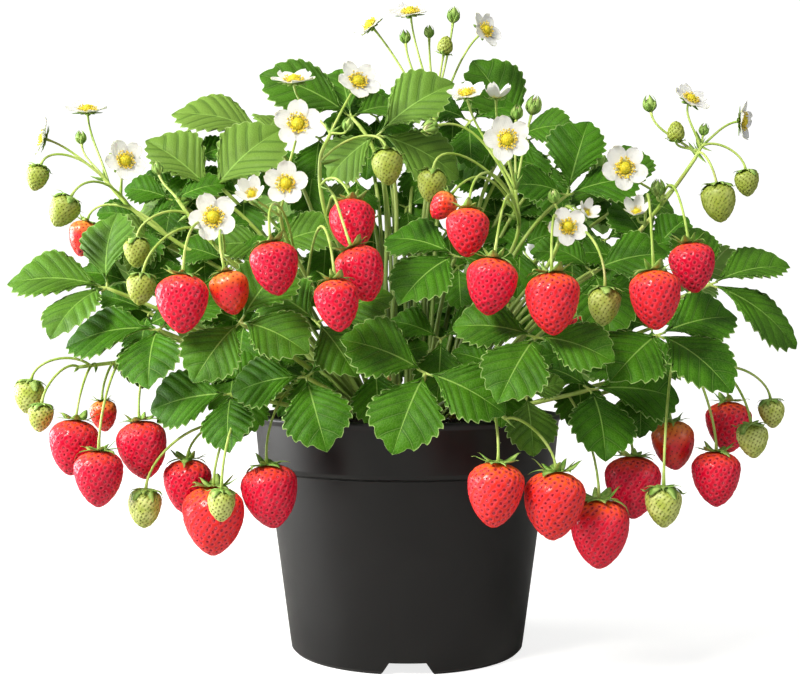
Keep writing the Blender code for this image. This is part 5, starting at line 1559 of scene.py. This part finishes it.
def makePot():
    form = potForm
    wall, collar, rim, top = form["wall"], form["collarRadius"], form["rimRadius"], form["height"]
    under, foot, bottom = form["floorUnder"], form["footRadius"], form["collarBottom"]
    ring, shoulder = foot - form["footRing"], form["shoulder"]
    profile = [
        (0, under + wall), (wallRadius(under + wall) - wall - 1 * mm, under + wall),
        (wallRadius(shoulder) - wall, shoulder), (collar - wall - form["step"], bottom + 1 * mm),
        (rim - form["lip"], top - 2 * mm), (rim - 2.8 * mm, top), (rim - 0.8 * mm, top),
        (rim, top - 1.4 * mm), (rim - 1.6 * mm, top - 3.8 * mm), (collar, bottom),
        (collar - 1.2 * mm, bottom - 2 * mm), (form["wallTop"], form["wallTo"]), (foot, form["wallFrom"]),
        (foot - 2 * mm, 0), (ring - 2 * mm, 0), (ring - 3 * mm, under), (0, under),
    ]
    parts = newParts()
    turnedBody(parts, rounded(profile, form["fillet"]), form["steps"], "mouldedPolypropylene")
    pot = makeObject("pot_shell", parts, "pot_plastic", "pot")
    for quarter in range(4):
        cutPot(pot, notchCutter(), quarter / 4 * fullTurn)
        cutPot(pot, drainCutter(), (quarter + 0.5) / 4 * fullTurn)
    graph = bpy.context.evaluated_depsgraph_get()
    finished = bpy.data.meshes.new_from_object(pot.evaluated_get(graph))
    cutters = [cut.object for cut in pot.modifiers]
    pot.modifiers.clear()
    pot.data = finished
    for cutter in cutters:
        bpy.data.objects.remove(cutter)
    pot.data.set_sharp_from_angle(angle=math.radians(form["sharpFrom"]))


# Compost: a crumbled top over a plain plug that fills the pot, with perlite and fibres on it. The mound rises
# and falls between two distances from the axis. Each kind of grain has its number and its least and most
# half-size.
soilForm = {
    "top": 118.5 * mm, "level": 118.8 * mm, "seenFrom": 117.5 * mm, "fit": 0.4 * mm, "ring": (36, 77),
    "mound": 9 * mm, "rise": (36 * mm, 46 * mm), "fall": (58 * mm, 80 * mm), "steps": 120,
    "neckRadius": 13 * mm, "neckLength": 14 * mm, "fibres": 60, "fibreLength": (4, 9),
    "fibreRadius": (0.2, 0.45),
    "grains": {"dampPeat": (1200, 0.6, 2.0), "perliteFoam": (150, 0.9, 2.1)},
}


def soilRelief(points):
    form = soilForm
    x, y, z = points[..., 0], points[..., 1], points[..., 2]
    reach = np.hypot(x, y)
    onTop = (z > form["seenFrom"]) & (reach > form["rise"][0]) & (reach < form["fall"][1])
    x, y = x / mm, y / mm
    swell = np.sin(x * 0.31 + np.sin(y * 0.23) * 2) + np.sin(y * 0.37 + np.sin(x * 0.29) * 2)
    grit = np.sin(x * 1.3 + y * 0.9) * np.sin(y * 1.7 - x * 0.6)
    mound = form["mound"] * smooth(*form["rise"], reach) * (1 - smooth(*form["fall"], reach))
    return np.where(onTop, (swell * 0.45 + grit * 0.35) * mm + mound, 0.0)


# Somewhere on the compost, lifted a little off it.
def soilSpot(draw, outer, lift):
    reach = math.sqrt(draw.uniform(soilForm["ring"][0] ** 2, outer**2)) * mm
    spot = wayOut(draw.uniform(0, fullTurn), vec(1, 0, 0), vec(0, 1, 0)) * reach + up * soilForm["level"]
    return spot + up * (soilRelief(spot) + lift)


def makeSoil():
    form, pot = soilForm, potForm
    seat, fit, wall = crownForm["seat"], form["fit"], potForm["wall"]
    hole, deep = form["neckRadius"] + fit, seat - form["neckLength"] - fit
    bottom = pot["floorUnder"] + wall + fit
    inside = pot["rimRadius"] - pot["lip"] - fit
    profile = [
        (0, deep), (hole, deep), (hole, seat), (crownForm["radius"] + 3 * mm, seat),
        *[(radius * mm, form["level"]) for radius in np.arange(*form["ring"], 1.0)],
        (inside - 3 * mm, form["top"]), (inside - 1 * mm, form["top"] - 2 * mm),
        (pot["collarRadius"] - wall - pot["step"] - fit, pot["collarBottom"] + 1 * mm),
        (wallRadius(pot["shoulder"]) - wall - fit, pot["shoulder"] - fit),
        (wallRadius(bottom) - wall - 1 * mm - fit, bottom), (0, bottom),
    ]
    parts = newParts()
    turnedBody(parts, np.array(profile), form["steps"], "dampPeat", soilRelief)
    draw = random.Random(5)
    for kind, (count, low, high) in form["grains"].items():
        centres, ways = [], []
        for k in range(count):
            centres.append(soilSpot(draw, form["ring"][1], 0.2 * mm))
            axes = framed(vec(draw.gauss(0, 1), draw.gauss(0, 1), draw.gauss(0, 1)), up)
            ways.append([axis * draw.uniform(low, high) * mm for axis in axes])
        addGrains(parts, centres, ways, kind)
    for k in range(form["fibres"]):
        start = soilSpot(draw, form["ring"][1] - 3, 1.2 * mm)
        way = unit(vec(draw.gauss(0, 1), draw.gauss(0, 1), 0.1)) * draw.uniform(*form["fibreLength"]) * mm
        line = bezier(start, start + way * 0.4 + up * mm, start + way * 0.8 + up * 0.6 * mm, start + way, 5)
        radii = np.full(6, draw.uniform(*form["fibreRadius"]) * mm)
        addTube(parts, line * vec(0.97, 0.97, 1), radii, 4, "barkFibre")
    makeObject("compost_top", parts, "compost", "soil")


# The crown: a knobbly woody dome under dry scales, on a neck in the compost.
def makeCrown():
    form = crownForm
    seat, edge, neck = form["seat"], form["seat"] + soilForm["fit"], soilForm["neckRadius"]
    deep = seat - soilForm["neckLength"]
    slopes = np.arange(form["rings"]) / form["rings"] * math.pi / 2
    dome = [(form["radius"] * math.sin(slope), seat + form["height"] * math.cos(slope)) for slope in slopes]
    profile = dome + [(form["radius"], edge), (neck, edge), (neck - 2 * mm, deep), (0, deep)]
    parts = newParts()
    turnedBody(parts, np.array(profile), form["steps"], "crownWood")
    draw = random.Random(12)
    shares = np.linspace(0, 1, 6)
    for k in range(form["scales"]):
        slope = math.radians(draw.uniform(*form["scaleSlope"]))
        spot, outward, around = crownSkin(k * goldenTurn, slope)
        uphill = unit(up - outward * (up @ outward) + around * 0.05)
        lie = unit(uphill + outward * draw.uniform(*form["scaleLift"]))
        size = draw.uniform(*form["scaleLength"]) * mm
        line = lineOut(spot, lie, shares * size, outward, shares**2 * size * 0.15 - form["seam"])
        widths = form["scaleProfile"] * size * form["scaleWidth"]
        addBlade(parts, line, widths, form["scaleThickness"], outward, "paperyStipule", draw.random())
    makeObject("crown_scales", parts, "crown", "crown")


makePot()
print("pot made")
makeSoil()
makeCrown()
print("compost and crown made")
makeShoots()
print("leaves made")
makeSprays()
print("sprays and fruit made")

counts = triangleCounts.values()
print("triangles:", sum(counts), "in", len(counts), "pieces, most in one:", max(counts))
